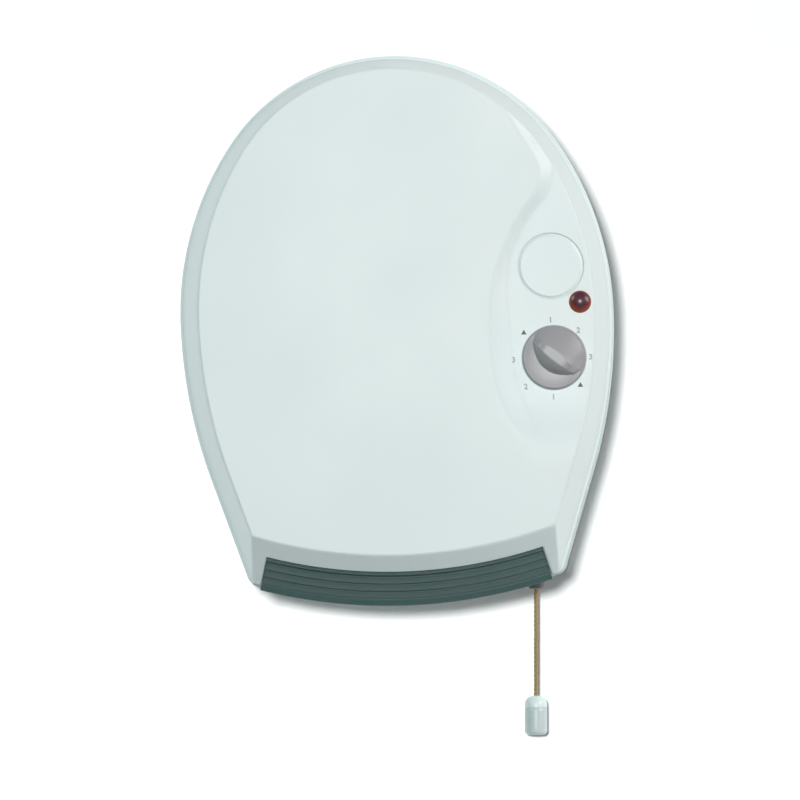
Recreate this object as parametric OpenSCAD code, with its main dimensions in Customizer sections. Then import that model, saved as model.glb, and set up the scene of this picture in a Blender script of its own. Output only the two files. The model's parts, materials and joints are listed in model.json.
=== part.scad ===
// Bathroom wall fan heater, in millimetres.
// X runs to the right as seen from the room, Z runs up, and the wall is the plane y = 0.
// The origin is the centre of the four wall screws, on the heater's widest line.
// "Depth" is the distance from the wall, so a point at depth d lies at y = -d.

/* [Body] */
// Width of the housing on its widest line
body_w = 236.5; // [228:0.5:290]
// Height of the top above the widest line
crown_h = 144.4; // [130:0.2:180]
// Drop from the widest line to the lowest point of the bottom edge
foot_drop = 155.6; // [150:0.2:190]
// Depth from the wall to the front face
body_depth = 115; // [112:1:140]
// How much smaller the crown's radius is than half the width
crown_tuck = 11; // [6:0.5:14]
// Radius of the flanks below the widest line
flank_r = 275; // [230:1:330]
// Slope of the straight lower flanks from upright, in degrees
flank_slope = 18.25; // [14:0.25:20]
// Radius of the bottom edge
bottom_r = 281; // [240:1:340]
// Radius of the two bottom corners
foot_corner_r = 7; // [5:0.5:12]
// Thickness of the moulded walls
wall = 2.4; // [2:0.1:3]
// Depth of the back housing
housing_depth = 18; // [16:0.5:24]

/* [Front cover] */
// Width of the ledge that the housing shows around the cover
ledge = 1.2; // [0.8:0.1:2]
// Draft of the cover's skirt over its whole depth
skirt_draft = 0.8; // [0.4:0.1:1.5]
// Depth of the bevel between the skirt and the front face
bevel_depth = 30; // [24:1:36]
// Inset of the front face from the outline, at the top and the sides
face_inset = 12.5; // [9:0.5:16]
// Inset of the front face from the outline, at the bottom
face_rise = 26.4; // [22:0.2:30]
// Reach of the rounded shoulder around the front face
shoulder = 2.4; // [1:0.2:4]
// Depth of the recessed control shelf in the front face
shelf_drop = 3.2; // [2:0.1:4]
// Width of one air intake slot
slot_w = 3.5; // [2:0.1:3.8]
// Pitch of the air intake slots
slot_pitch = 9; // [7:0.5:12]
// Number of intake slots on each flank
slot_count = 15; // [6:1:17]
// Gap between the cover's edge and the housing's edge
seam_gap = 0.3; // [0.2:0.1:0.6]

/* [Controls] */
// Distance of the knob from the centre line
knob_x = 84; // [78:0.5:88]
// Height of the knob's centre
knob_z = -26.5; // [-30:0.5:-20]
// Radius of the knob
knob_r = 17.5; // [15:0.5:19]
// Height of the knob above the shelf
knob_h = 15; // [12:0.5:18]
// Radius of the switch spindle
spindle_r = 3; // [2.5:0.25:3.5]
// Height of the blanking cap's centre
cap_z = 22.5; // [18:0.5:28]
// Radius of the blanking cap
cap_r = 17.5; // [15:0.5:19]
// Distance of the lamp from the centre line
lamp_x = 99; // [96:0.5:100]
// Height of the lamp's centre
lamp_z = 2.8; // [0:0.2:4]
// Radius of the lamp's lens
lamp_r = 6; // [5:0.25:6.5]

/* [Outlet] */
// Height of the cover's lip above the outlet grille
lip_h = 9.3; // [7:0.1:12]
// Half of the angle that the grille spans around the bottom edge's centre
grille_angle = 16.3; // [15:0.1:17]
// Number of grille slats
slat_count = 3; // [2:1:5]
// Thickness of a slat
slat_t = 2.2; // [1:0.1:2.4]
// Length of a slat along the air's way
slat_len = 5; // [4:0.5:6]

/* [Fan] */
// Depth of the fan's axis
fan_depth = 60; // [58:1:64]
// Height of the fan's axis
fan_z = -78; // [-80:1:-74]
// Radius of the fan wheel
wheel_r = 28; // [25:0.5:29]
// Number of blades
blade_count = 24; // [18:1:30]
// Width of the air duct
duct_w = 21.4; // [19:0.2:22]
// Distance of the left end plate from the centre line
duct_left = 60; // [54:0.5:62]
// Distance of the right end plate from the centre line
duct_right = 66; // [60:0.5:68]
// Thickness of the sheet metal
sheet = 1.2; // [1:0.1:1.6]
// Radius of the fan's shaft
shaft_r = 2.5; // [2:0.25:3]
// Thickness of the motor's lamination stack
stack_t = 14; // [10:1:16]

/* [Wall and cable] */
// Spacing of the wall screws across
screw_dx = 192; // [160:1:196]
// Spacing of the wall screws upward
screw_dz = 100; // [80:1:104]
// Radius of the wall screw holes
screw_hole_r = 2.5; // [2:0.25:3]
// Radius of the cable's way through the grommet
cable_r = 4.5; // [3.5:0.25:5]

/* [Pull cord] */
// Distance of the pull cord from the centre line
pull_x = 70; // [68:0.5:72]
// Depth of the pull cord
pull_depth = 12; // [11:0.5:13]
// Diameter of the pull cord
cord_d = 2.6; // [2:0.1:3]
// Travel of the pull cord
pull_travel = 8; // [6:0.5:8.5]
// Radius of the toggle
toggle_r = 6.6; // [5.5:0.1:8]
// Length of the toggle
toggle_len = 22; // [18:0.5:26]
// Lean of the hanging cord towards the centre line, in degrees
cord_lean = 2.2; // [0:0.1:4]

/* [Hidden] */
$fn = 48;

// Clearances
fit = 0.15;          // between moulded pieces that locate each other
run_gap = 0.05;      // between a shaft and its bore
thread_gap = 0.05;   // between a screw and its hole
seat_gap = 0.3;      // between pieces that lie side by side
eps = 0.01;          // overrun of a cut past its face

// Outline
half_w = body_w / 2;
crown_r = half_w - crown_tuck;
crown_cz = crown_h - crown_r;
side_r = (half_w * half_w + crown_cz * crown_cz - crown_r * crown_r) / (2 * crown_tuck);
side_cx = half_w - side_r;
join_a = atan2(crown_cz, -side_cx);
flank_cx = half_w - flank_r;
bottom_cz = bottom_r - foot_drop;

// Cover
cover_back = housing_depth + seam_gap;
bevel_start = body_depth - bevel_depth;
face_corner_r = 2.5;
inner_face = body_depth - wall;
knee_inset = ledge + skirt_draft;
shelf_depth = body_depth - shelf_drop;
shelf_back = shelf_depth - wall;
shelf_x = 55.5;
shelf_low_z = -70;
shelf_ramp_z = -48;
shelf_upper_z = 2;
shelf_upper_r = 83;
shelf_turn = 40;
shelf_straight = 6;
shelf_hook_r = 20;
shelf_hook_turn = 20;
shelf_lower_z = -15;
shelf_lower_r = 105;
edge_finer = 4;
slot_depths = [housing_depth + 12, bevel_start - 10];
rib_w = 8;
rib_reach = 8;
rib_t = 1.5;
rib_in = ledge + wall + fit;
rib_turns = [20, 52, 90, 128, 160];

// Hooks at the top and screws at the bottom of the cover
hook_x = 40;
hook_w = 10;
hook_depth = housing_depth + 8;
hook_t = 3;
catch_t = 5.5;
catch_room = 2;
catch_z = crown_cz + sqrt(pow(crown_r - knee_inset - wall, 2) - pow(hook_x + hook_w / 2, 2)) - 7;
cover_screw_x = 52;
cover_screw_depth = 32;
cover_screw_r = 1.75;
screw_head_r = 3.9;
screw_head_h = 2.4;
screw_seat = 4;
boss_h = 5;
cover_seat_z = screw_seat + bottom_cz
    - sqrt(pow(bottom_r - skirt_inset(cover_screw_depth), 2) - cover_screw_x * cover_screw_x);
wall_boss_r = 6;
wall_boss_depth = 6;
plate_rib_zs = [-20, 95];
plate_rib_x = 88;
plate_rib_t = 2;
plate_rib_h = 4;
screw_arm_half = 6;
screw_arm_t = 8;
cover_boss_r = 6.5;
small_screw_r = 1.5;

// Outlet
lip_r = bottom_r - face_rise + lip_h;
knee_r = bottom_r - knee_inset;
slant = atan2(bevel_depth, face_rise - knee_inset);
grille_seat = bevel_start - 3;
grille_low_r = bottom_r + 0.6;
rail_t = 1.4;
rail_sunk = 0.3;
slat_sunk = 0.8;
divider_sunk = 2.6;
divider_angles = [-10, -5, 0, 5, 10];

// Fan
left_x = -duct_left;
right_x = duct_right;
plate_t = 1.6;
wheel_gap = 2.5;
blade_depth = 5.5;
blade_t = 0.7;
blade_sweep = 16;
disc_t = 1.4;
rim = 0.4;
hub_r = 6;
wheel_ends = [left_x + wheel_gap, right_x - wheel_gap];
scroll_angles = [105, 232];
scroll_r = [wheel_r + 2.5, wheel_r + 10];
duct_fall = 38.3;
duct_way = [cos(duct_fall), -sin(duct_fall)];
duct_side = [sin(duct_fall), cos(duct_fall)];
scroll_end = [fan_depth, fan_z] + scroll_r[1] * [cos(scroll_angles[1]), sin(scroll_angles[1])];
duct_len = 53;
duct_rear_end = scroll_end + duct_len * duct_way;
duct_front_end = duct_rear_end + duct_w * duct_side;
tongue_len = 25;
tongue_tip = duct_front_end - tongue_len * duct_way;
foot_zs = [fan_z + 18, fan_z - 20];
foot_h = 12;
foot_boss = 8.4;
foot_boss_r = 5;
foot_out = 12;
foot_screw_xs = [left_x - plate_t - foot_out / 2, right_x + plate_t + foot_out / 2];

// Motor, stationed from the left end plate outward
spacer_len = 6;
bracket_x = left_x - plate_t - spacer_len;
leg_len = 4;
stack_x = bracket_x - plate_t - leg_len;
stack_end = stack_x - stack_t;
outer_x = stack_end - leg_len;
rotor_r = 13.5;
air_gap = 0.5;
bolt_r = 1.6;
bolt_zs = [fan_z + 17.2, fan_z - 19];
stack_half = 22;
stack_zs = [fan_z - 23, fan_z + 42];
window_zs = [fan_z + 20.5, fan_z + 32];
leg_half = 13;
coil_t = 9;
bobbin_t = 0.8;
bush_r = 5;
bearing_hole_r = 9;

// Heater
heater_ahead = 12;
lead_hole_r = 4.5;
heater_t = 14;
heater_mid = duct_rear_end + duct_w / 2 * duct_side - heater_ahead * duct_way;
heater_w = duct_w - 2 * sheet - 2 * seat_gap;
card_t = 0.8;
wire_w = 3;
heater_xs = [left_x + seat_gap, right_x - seat_gap];
zig_pitch = 6;
zig_t = 0.7;

// Rotary switch
switch_half = 15;
switch_depths = [shelf_back - 25, shelf_back - 5];
switch_screw_x = 11;
switch_screw_r = 1.5;
switch_screw_sunk = 1.2;
tab_step = [10, 6];
tab_half = [3.1, 0.4];
tab_len = 7;
lead_gap = 0.4;
tab_y = lead_gap + tab_len - switch_depths[0];
knob_back = shelf_depth + 0.5;
knob_front = shelf_depth + knob_h;
spindle_front = shelf_depth + 9;
grip_w = 5;
knob_rim = 5.5;

// Lamp, stationed from the shelf's back
lamp_rim_h = 0.8;
lamp_dome_h = 3.4;
lamp_neck_r = lamp_r - 1 - fit;
lamp_body_depths = [shelf_back - 24, shelf_back - 2];
lamp_tab_len = 5;
lamp_tab_y = lead_gap + lamp_tab_len - lamp_body_depths[0];

// Pull switch, built up from the cover's inner wall
pull_half = 10;
pull_depths = [wall + 0.2, 2 * pull_depth - wall - 0.2];
pull_low_z = bottom_cz + 0.2 - sqrt(pow(bottom_r - ledge - wall, 2) - pow(pull_x + pull_half, 2));
pull_floor = 2;
pull_roof = 1.5;
spring_room = 6;
plunger_h = 9;
plunger_low_z = pull_low_z + pull_floor + spring_room + pull_travel;
plunger_zs = [plunger_low_z, plunger_low_z + plunger_h];
cavity_zs = [pull_low_z + pull_floor, plunger_zs[1] + pull_roof];
pull_zs = [pull_low_z, cavity_zs[1] + pull_roof];
pull_screw_xs = [pull_x - 6.5, pull_x + 6.5];
pull_screw_z = pull_zs[1] + 3.5;
pull_screw_head_r = 2.8;
pull_boss_r = 3.2;
pull_ear_depth = pull_depths[0] + 2;
pull_tab_step = [2, 4.2];
pull_tab_half = [0.4, 2.4];
slide_half = 4;
cord_seat = 4;
pull_exit_z = bottom_cz - sqrt(bottom_r * bottom_r - pull_x * pull_x);
bush_low_z = pull_exit_z - 3.5;
cord_r = cord_d / 2;
cord_bore_r = 2.2;
cord_bush_r = 5;
swing_gap = 0.4;
spring_r = 3.2;
spring_wire_r = 0.4;
spring_turns = 5;
spring_zs = [cavity_zs[0] + spring_wire_r, plunger_zs[0] - spring_wire_r];

// Route of the hanging cord, from just under the bush to the toggle
cord_route = [[70, -12, -150.6], [69.8, -12, -155], [69.7, -12, -159], [69.5, -12, -163],
    [69.4, -12, -167], [69.2, -12, -171], [69.1, -12, -175], [68.9, -12, -179],
    [68.7, -12, -183], [68.6, -12, -187], [68.4, -12, -191], [68.3, -12, -195],
    [68.1, -12, -199], [68, -12, -203], [67.8, -12, -207], [67.6, -12, -212]];
cord_in_toggle = 3;
toggle_top = cord_route[len(cord_route) - 1] + [0, 0, cord_in_toggle];
toggle_dome_h = 5;
toggle_dome_r = 1.6;
toggle_edge_r = 1.6;

// Terminal block and grommet
block_x = [-34, -2];
block_z = [36, 54];
block_depths = [wall, 19];
block_step = 9.6;
block_mid_x = (block_x[0] + block_x[1]) / 2;
block_screw_in = 4.5;
block_well_r = 2.3;
block_way_r = 1.9;
grommet_x = -58;
grommet_z = 45;
grommet_neck_r = cable_r + 2.5;
grommet_flange_r = cable_r + 5;
pocket_r = grommet_flange_r + 2.5;
pocket_depth = 3;

// Routes of the inner leads
supply_route = [[-10, -14, 54.2], [-10, -14, 58], [-6, -18, 64], [6, -28, 67], [20, -38, 65],
    [36, -50, 56], [52, -60, 38], [64, -66, 18], [71, -68, 0], [74, -69, -14],
    [knob_x - 10, tab_y + 4, knob_z + 6.5], [knob_x - 10, tab_y, knob_z + 6.5]];
heater_route = [[knob_x + 10, tab_y, knob_z - 5.5], [knob_x + 10, tab_y + 4, knob_z - 5.5],
    [94, -69, -38], [94, -67, -50], [92, -66, -66], [88, -67, -84], [84, -70, -102], [78, -74, -116],
    [right_x + 6, -heater_mid[0], heater_mid[1] + 1], [right_x, -heater_mid[0], heater_mid[1]]];
motor_route = [[-24, -14, 54.2], [-24, -14, 58], [-30, -18, 63], [-44, -28, 61], [-58, -38, 50],
    [-72, -48, 30], [-80, -56, 6], [-80, -59, -12], [-80, -60, stack_zs[1] + coil_t + lead_gap]];
pull_route = [[knob_x - 10, tab_y, knob_z - 6.5], [knob_x - 10, tab_y + 4, knob_z - 6.5],
    [80, -67, -40], [86, -56, -48], [86, -38, -60], [84, -24, -76], [80, -17, -92], [73, -14, -100],
    [72, -13, pull_zs[1] + tab_len + lead_gap]];
lamp_route = [[lamp_x, lamp_tab_y, lamp_z], [99, -77, 0], [98, -75, -5], [97, -73, -11],
    [knob_x + 10, tab_y + 4, knob_z + 8.5], [knob_x + 10, tab_y, knob_z + 6.5]];

// ---- Helpers ----

function arc(c, r, a0, a1, steps) = [for (i = [1:steps])
    let (a = a0 + (a1 - a0) * i / steps) [c[0] + r * cos(a), c[1] + r * sin(a)]];

// Centre of the rounded corner between a flank and the bottom edge
function foot_centre(side, low, corner) = let (
    q = side + corner,
    start = [flank_cx + (flank_r - q) * cos(flank_slope), -(flank_r - q) * sin(flank_slope)],
    way = [-sin(flank_slope), -cos(flank_slope)],
    v = start - [0, bottom_cz],
    reach = bottom_r - low - corner,
    along = v * way,
    t = -along + sqrt(along * along - v * v + reach * reach))
    start + t * way;

// Right half of the outline from the top to the bottom, inset by side and by low at the bottom,
// its arcs in so many times their usual steps
function half_outline(side, low, corner, finer) = let (
    foot = foot_centre(side, low, corner),
    foot_a = atan2(foot[1] - bottom_cz, foot[0]))
    concat([[0, crown_h - side]],
        arc([0, crown_cz], crown_r - side, 90, join_a, 9 * finer),
        arc([side_cx, 0], side_r - side, join_a, 0, 6 * finer),
        arc([flank_cx, 0], flank_r - side, 0, -flank_slope, 3 * finer),
        arc(foot, corner, -flank_slope, foot_a, 4 * finer),
        arc([0, bottom_cz], bottom_r - low, foot_a, -90, 5 * finer));

function outline(side, low, corner, finer = 1) = let (
    right = half_outline(side, low, corner, finer),
    n = len(right))
    concat(right, [for (i = [n - 2:-1:1]) [-right[i][0], right[i][1]]]);

function even(side, finer = 1) = outline(side, side, max(face_corner_r, foot_corner_r - side), finer);

function skirt_inset(depth) = ledge + skirt_draft * (depth - cover_back) / (bevel_start - cover_back);

function bevel_inset(depth) = knee_inset + (face_inset - knee_inset) * (depth - bevel_start) / bevel_depth;

function bevel_low(depth) = knee_inset + (face_rise - knee_inset) * (depth - bevel_start) / bevel_depth;

// Rounded shoulder between the bevel and the face, as depth, side inset and bottom inset
function shoulder_at(t) = let (
    from = [body_depth - shoulder, bevel_inset(body_depth - shoulder), bevel_low(body_depth - shoulder)],
    knee = [body_depth, face_inset, face_rise],
    to = knee + shoulder * [0, 1, 1.2])
    (1 - t) * (1 - t) * from + 2 * t * (1 - t) * knee + t * t * to;

function section(row, corner) = [row[0], outline(row[1], row[2], corner)];

// Solid through a row of outlines that all have the same number of points
module loft(sections) {
    n = len(sections[0][1]);
    last = len(sections) - 1;
    polyhedron(
        points = [for (s = sections) for (p = s[1]) [p[0], -s[0], p[1]]],
        faces = concat(
            [[for (i = [n - 1:-1:0]) i]],
            [[for (i = [0:n - 1]) last * n + i]],
            [for (k = [0:last - 1]) for (i = [0:n - 1]) let (j = (i + 1) % n)
                [k * n + i, k * n + j, (k + 1) * n + j]],
            [for (k = [0:last - 1]) for (i = [0:n - 1]) let (j = (i + 1) % n)
                [k * n + i, (k + 1) * n + j, (k + 1) * n + i]]),
        convexity = 6);
}

// Flat shape drawn in x and z, raised between two depths
module plan(from, to) {
    translate([0, -from, 0]) rotate([90, 0, 0]) linear_extrude(height = to - from) children();
}

// Flat shape drawn in depth and z, drawn out between two places across the heater
module across(from, to) {
    translate([to, 0, 0]) rotate([90, 0, -90]) linear_extrude(height = to - from) children();
}

// Shape drawn as radius and depth, swept around the centre of the bottom edge
module bottom_sweep(half_angle) {
    translate([0, 0, bottom_cz]) rotate([90, 0, 0]) rotate([0, 0, -90 - half_angle])
        rotate_extrude(angle = 2 * half_angle, $fn = 240) children();
}

// Round peg standing out from the wall
module peg(r, x, z, from, to) {
    translate([x, -from, z]) rotate([90, 0, 0]) cylinder(h = to - from, r = r);
}

// Round bar across the heater
module bar(r, from, to, depth, z) {
    translate([from, -depth, z]) rotate([0, 90, 0]) cylinder(h = to - from, r = r);
}

// Box between two values across, in depth and upward
module block(xs, depths, zs) {
    translate([xs[0], -depths[1], zs[0]]) cube([xs[1] - xs[0], depths[1] - depths[0], zs[1] - zs[0]]);
}

// Shape repeated on both sides of the centre line
module both_sides() {
    children();
    mirror([1, 0, 0]) children();
}

// Round tube along a row of points
function unit(v) = v / norm(v);

function tangent_at(path, i) =
    unit(path[min(i + 1, len(path) - 1)] - path[max(i - 1, 0)]);

function ring(path, i, r, sides, up) = let (
    t = tangent_at(path, i),
    u = unit(cross(up, t)),
    v = cross(t, u))
    [for (k = [0:sides - 1]) let (a = 360 * k / sides) path[i] + r * cos(a) * u + r * sin(a) * v];

module tube(path, r, sides, up) {
    n = len(path);
    polyhedron(
        points = [for (i = [0:n - 1]) each ring(path, i, r, sides, up)],
        faces = concat(
            [[for (k = [0:sides - 1]) k]],
            [[for (k = [sides - 1:-1:0]) (n - 1) * sides + k]],
            [for (i = [0:n - 2]) for (k = [0:sides - 1]) let (j = (k + 1) % sides)
                [i * sides + k, (i + 1) * sides + j, i * sides + j]],
            [for (i = [0:n - 2]) for (k = [0:sides - 1]) let (j = (k + 1) % sides)
                [i * sides + k, (i + 1) * sides + k, (i + 1) * sides + j]]),
        convexity = 8);
}

// Pan head screw along Z, its head's seat at z = 0 and its point upward
module screw_up(r, len, head_r, head_h) {
    cylinder(h = len, r = r);
    translate([0, 0, -head_h]) difference() {
        cylinder(h = head_h, r = head_r);
        for (turn = [0, 90]) rotate([0, 0, turn])
            translate([-head_r * 0.6, -0.4, -eps]) cube([head_r * 1.2, 0.8, head_h * 0.5]);
    }
}

// Screw driven towards the wall, its head's seat at the given depth
module screw_back(r, len, head_r, head_h, x, z, depth) {
    translate([x, -depth, z]) rotate([-90, 0, 0]) screw_up(r, len, head_r, head_h);
}

// ---- Casing ----

module rib_bars() {
    for (turn = rib_turns) rotate([0, turn, 0])
        translate([-bottom_r, -body_depth, -rib_w / 2]) cube([2 * bottom_r, body_depth, rib_w]);
}

// Ribs inside the rim that locate the cover
module locating_ribs() {
    intersection() {
        union() {
            plan(housing_depth - rib_reach, housing_depth + rib_reach) difference() {
                polygon(even(rib_in));
                polygon(even(rib_in + rib_t));
            }
            plan(housing_depth - rib_reach, housing_depth) difference() {
                polygon(even(wall / 2));
                polygon(even(rib_in + rib_t));
            }
        }
        rib_bars();
    }
}

module housing_hook() {
    hook_xs = [hook_x - hook_w / 2, hook_x + hook_w / 2];
    foot_z = catch_z - catch_room - hook_t;
    block(hook_xs, [wall / 2, hook_depth + hook_t], [foot_z, foot_z + hook_t]);
    block(hook_xs, [hook_depth + seat_gap, hook_depth + hook_t], [foot_z, catch_z + hook_t]);
}

module housing_screw_arm() {
    arm_z = cover_seat_z + boss_h + seat_gap;
    difference() {
        block([cover_screw_x - screw_arm_half, cover_screw_x + screw_arm_half],
            [wall / 2, cover_screw_depth + screw_arm_half + 1], [arm_z, arm_z + screw_arm_t]);
        translate([cover_screw_x, -cover_screw_depth, cover_seat_z])
            cylinder(h = 20, r = cover_screw_r + thread_gap);
    }
}

module housing_bosses() {
    both_sides() for (z = [-screw_dz / 2, screw_dz / 2])
        peg(wall_boss_r, screw_dx / 2, z, wall / 2, wall_boss_depth);
    for (x = foot_screw_xs) for (z = foot_zs) peg(foot_boss_r, x, z, wall / 2, foot_boss);
    for (x = pull_screw_xs) peg(pull_boss_r, x, pull_screw_z, wall / 2, pull_depths[0]);
    peg(pocket_r + wall, grommet_x, grommet_z, wall / 2, pocket_depth + wall);
    for (z = plate_rib_zs)
        block([-plate_rib_x, plate_rib_x], [wall / 2, wall + plate_rib_h], [z, z + plate_rib_t]);
}

module back_housing() color("gainsboro") {
    difference() {
        union() {
            difference() {
                plan(0, housing_depth) polygon(even(0, edge_finer));
                plan(wall, housing_depth + 1) polygon(even(wall, edge_finer));
            }
            housing_bosses();
            locating_ribs();
            both_sides() housing_hook();
            both_sides() housing_screw_arm();
        }
        both_sides() for (z = [-screw_dz / 2, screw_dz / 2])
            peg(screw_hole_r, screw_dx / 2, z, -eps, wall_boss_depth + eps);
        for (x = foot_screw_xs) for (z = foot_zs)
            peg(cover_screw_r + thread_gap, x, z, wall / 2, foot_boss + eps);
        for (x = pull_screw_xs)
            peg(small_screw_r + thread_gap, x, pull_screw_z, wall / 2, pull_depths[0] + eps);
        peg(pocket_r, grommet_x, grommet_z, -eps, pocket_depth);
        peg(grommet_neck_r + run_gap, grommet_x, grommet_z, -eps, pocket_depth + wall + eps);
        translate([pull_x, -pull_depth, bush_low_z - 2]) cylinder(h = 16, r = cord_bush_r + run_gap);
    }
}

// Edge of the control shelf, from its upper tip down, closed to the right past the bevel
function shelf_plan() = let (
    upper_c = [shelf_x + shelf_upper_r, shelf_upper_z],
    bend = upper_c + shelf_upper_r * [-cos(shelf_turn), sin(shelf_turn)],
    hook_start = bend + shelf_straight * [sin(shelf_turn), cos(shelf_turn)],
    hook_c = hook_start + shelf_hook_r * [-cos(shelf_turn), sin(shelf_turn)],
    lower_c = [shelf_x + shelf_lower_r, shelf_lower_z],
    lower_a = asin((shelf_lower_z - shelf_low_z) / shelf_lower_r),
    edge = concat(
        arc(hook_c, shelf_hook_r, shelf_hook_turn + 10, -shelf_turn, 6),
        arc(upper_c, shelf_upper_r, 180 - shelf_turn, 180, 6),
        arc(lower_c, shelf_lower_r, 180, 180 + lower_a, 5)))
    concat(edge, [[half_w + 10, shelf_low_z], [half_w + 10, edge[0][1]]]);

module shelf_cut() {
    top = shelf_plan()[0][1] + 10;
    intersection() {
        plan(shelf_depth, body_depth + 1) polygon(shelf_plan());
        across(shelf_x - 5, half_w + 5) polygon([[shelf_depth, top], [shelf_depth, shelf_ramp_z],
            [body_depth, shelf_low_z], [body_depth + 1, shelf_low_z], [body_depth + 1, top]]);
    }
}

function slot_place(i) = let (
    run = (i + 0.5) * slot_pitch,
    side_run = side_r * join_a * PI / 180,
    a = run / side_r * 180 / PI,
    b = join_a + (run - side_run) / crown_r * 180 / PI)
    run < side_run ? [side_cx + side_r * cos(a), side_r * sin(a), a]
        : [crown_r * cos(b), crown_cz + crown_r * sin(b), b];

module intake_slots() {
    reach = knee_inset + wall + 2;
    for (i = [0:slot_count - 1]) let (place = slot_place(i))
        translate([place[0], 0, place[1]]) rotate([0, -place[2], 0])
            block([-reach, 1], slot_depths, [-slot_w / 2, slot_w / 2]);
}

// What stands inside the cover's hollow as part of the moulding
module cover_insides() {
    plan(shelf_back, inner_face + 1) translate([-wall, 0]) polygon(shelf_plan());
    both_sides() block([hook_x - hook_w / 2 - 1, hook_x + hook_w / 2 + 1],
        [hook_depth - catch_t, hook_depth], [catch_z, crown_h]);
    both_sides() translate([cover_screw_x, -cover_screw_depth, cover_seat_z - screw_seat - 1])
        cylinder(h = screw_seat + 1 + boss_h, r = cover_boss_r);
}

module outlet_cut() {
    inside = wall + 6;
    outside = 8;
    bottom_sweep(grille_angle) polygon([on_slant(lip_r, -outside), on_slant(lip_r, inside),
        [knee_r - inside, grille_seat], [bottom_r + outside, grille_seat],
        [bottom_r + outside, body_depth + outside]]);
}

module front_cover() color("honeydew") difference() {
    loft(concat(
        [[cover_back, even(skirt_inset(cover_back))], [bevel_start, even(knee_inset)]],
        [for (t = [0:0.5:1]) section(shoulder_at(t), face_corner_r)]));
    difference() {
        loft([[cover_back - 1, even(skirt_inset(cover_back) + wall)],
            [bevel_start, even(knee_inset + wall)],
            section([inner_face, bevel_inset(inner_face) + wall, bevel_low(inner_face) + wall * 1.3],
                face_corner_r)]);
        cover_insides();
    }
    shelf_cut();
    outlet_cut();
    both_sides() intake_slots();
    peg(cap_r, knob_x, cap_z, shelf_back - 1, body_depth + 1);
    peg(spindle_r + 0.4, knob_x, knob_z, shelf_back - 1, body_depth + 1);
    peg(lamp_r - 1, lamp_x, lamp_z, shelf_back - 1, body_depth + 1);
    for (side = [-1, 1]) {
        peg(switch_screw_r + thread_gap, knob_x + side * switch_screw_x, knob_z, shelf_back - 1, body_depth);
        peg(2 * switch_screw_r + fit, knob_x + side * switch_screw_x, knob_z,
            shelf_depth - switch_screw_sunk, body_depth);
    }
    both_sides() translate([cover_screw_x, -cover_screw_depth, cover_seat_z - screw_seat - 3]) {
        cylinder(h = screw_seat + 3, r = screw_head_r + seat_gap);
        cylinder(h = screw_seat + 3 + boss_h + 1, r = cover_screw_r + seat_gap);
    }
}

module cover_screws() color("silver") both_sides()
    translate([cover_screw_x, -cover_screw_depth, cover_seat_z])
        screw_up(cover_screw_r, boss_h + 7, screw_head_r, screw_head_h);

// ---- Outlet grille ----

// Place on the slanted outlet plane, at a given radius and sunk inward by some distance
function on_slant(r, sunk) =
    [r, bevel_start + (knee_r - r) / tan(90 - slant)] - sunk * [sin(slant), cos(slant)];

module slat_shape(r, t, sunk, len) {
    polygon([on_slant(r, sunk), on_slant(r + t, sunk), on_slant(r + t, sunk + len),
        on_slant(r, sunk + len)]);
}

module around_foot_arc(a) {
    translate([0, 0, bottom_cz]) rotate([0, a, 0]) translate([0, 0, -bottom_cz]) children();
}

module outlet_grille() color("darkslategray") {
    top = lip_r + fit;
    row = [top + 0.3, knee_r + 1.6];
    pitch = (row[1] - row[0]) / (slat_count + 1);
    end_a = grille_angle - 0.05;
    back = grille_seat + fit;
    low = knee_r - wall - 1.5;
    high = knee_r - top - 1;
    bottom_sweep(end_a) slat_shape(top, rail_t, rail_sunk, slat_len + 1);
    for (i = [1:slat_count])
        bottom_sweep(end_a - 0.2) slat_shape(row[0] + i * pitch - slat_t / 2, slat_t, slat_sunk, slat_len);
    bottom_sweep(end_a) polygon([on_slant(knee_r - 0.5, rail_sunk), [grille_low_r, bevel_start - 1.5],
        [grille_low_r, back], [low, back], [low, bevel_start - 1]]);
    for (side = [-1, 1]) around_foot_arc(side * (end_a - 0.4))
        bottom_sweep(0.35) slat_shape(top + 0.4, high, rail_sunk + 0.2, slat_len + 0.6);
    for (a = divider_angles) around_foot_arc(a)
        bottom_sweep(0.14) slat_shape(top + 0.4, high, divider_sunk, slat_len - 1.3);
}

// ---- Controls ----

module blanking_cap() color("honeydew") {
    peg(cap_r - fit, knob_x, cap_z, shelf_back, shelf_depth);
    for (a = [30, 150, 270]) translate([knob_x, 0, cap_z]) rotate([0, a, 0]) {
        block([cap_r - 4, cap_r - 2.5], [shelf_back - 5, shelf_back + 0.5], [-3, 3]);
        block([cap_r - 4, cap_r + 1], [shelf_back - 2.2, shelf_back - seat_gap], [-3, 3]);
    }
}

module lamp_lens() color("darkred") translate([lamp_x, 0, lamp_z]) rotate([90, 0, 0]) {
    dome = [for (i = [0:8]) let (a = i * 11.25) [lamp_r * cos(a), lamp_rim_h + lamp_dome_h * sin(a)]];
    translate([0, 0, shelf_depth]) rotate_extrude($fn = 64) polygon(concat([[0, 0], [lamp_r, 0]], dome));
    translate([0, 0, lamp_body_depths[1]]) cylinder(h = wall + 2, r = lamp_neck_r);
}

module lamp_body() color("whitesmoke") {
    difference() {
        peg(lamp_neck_r, lamp_x, lamp_z, lamp_body_depths[0], lamp_body_depths[1]);
        peg(lamp_neck_r - 1.45, lamp_x, lamp_z, lamp_body_depths[0] + 2, lamp_body_depths[1] + 1);
    }
    for (x = [lamp_x - 1.6, lamp_x + 1.6]) block([x - 0.4, x + 0.4],
        [lamp_body_depths[0] - lamp_tab_len, lamp_body_depths[0]], [lamp_z - 1, lamp_z + 1]);
}

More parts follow.
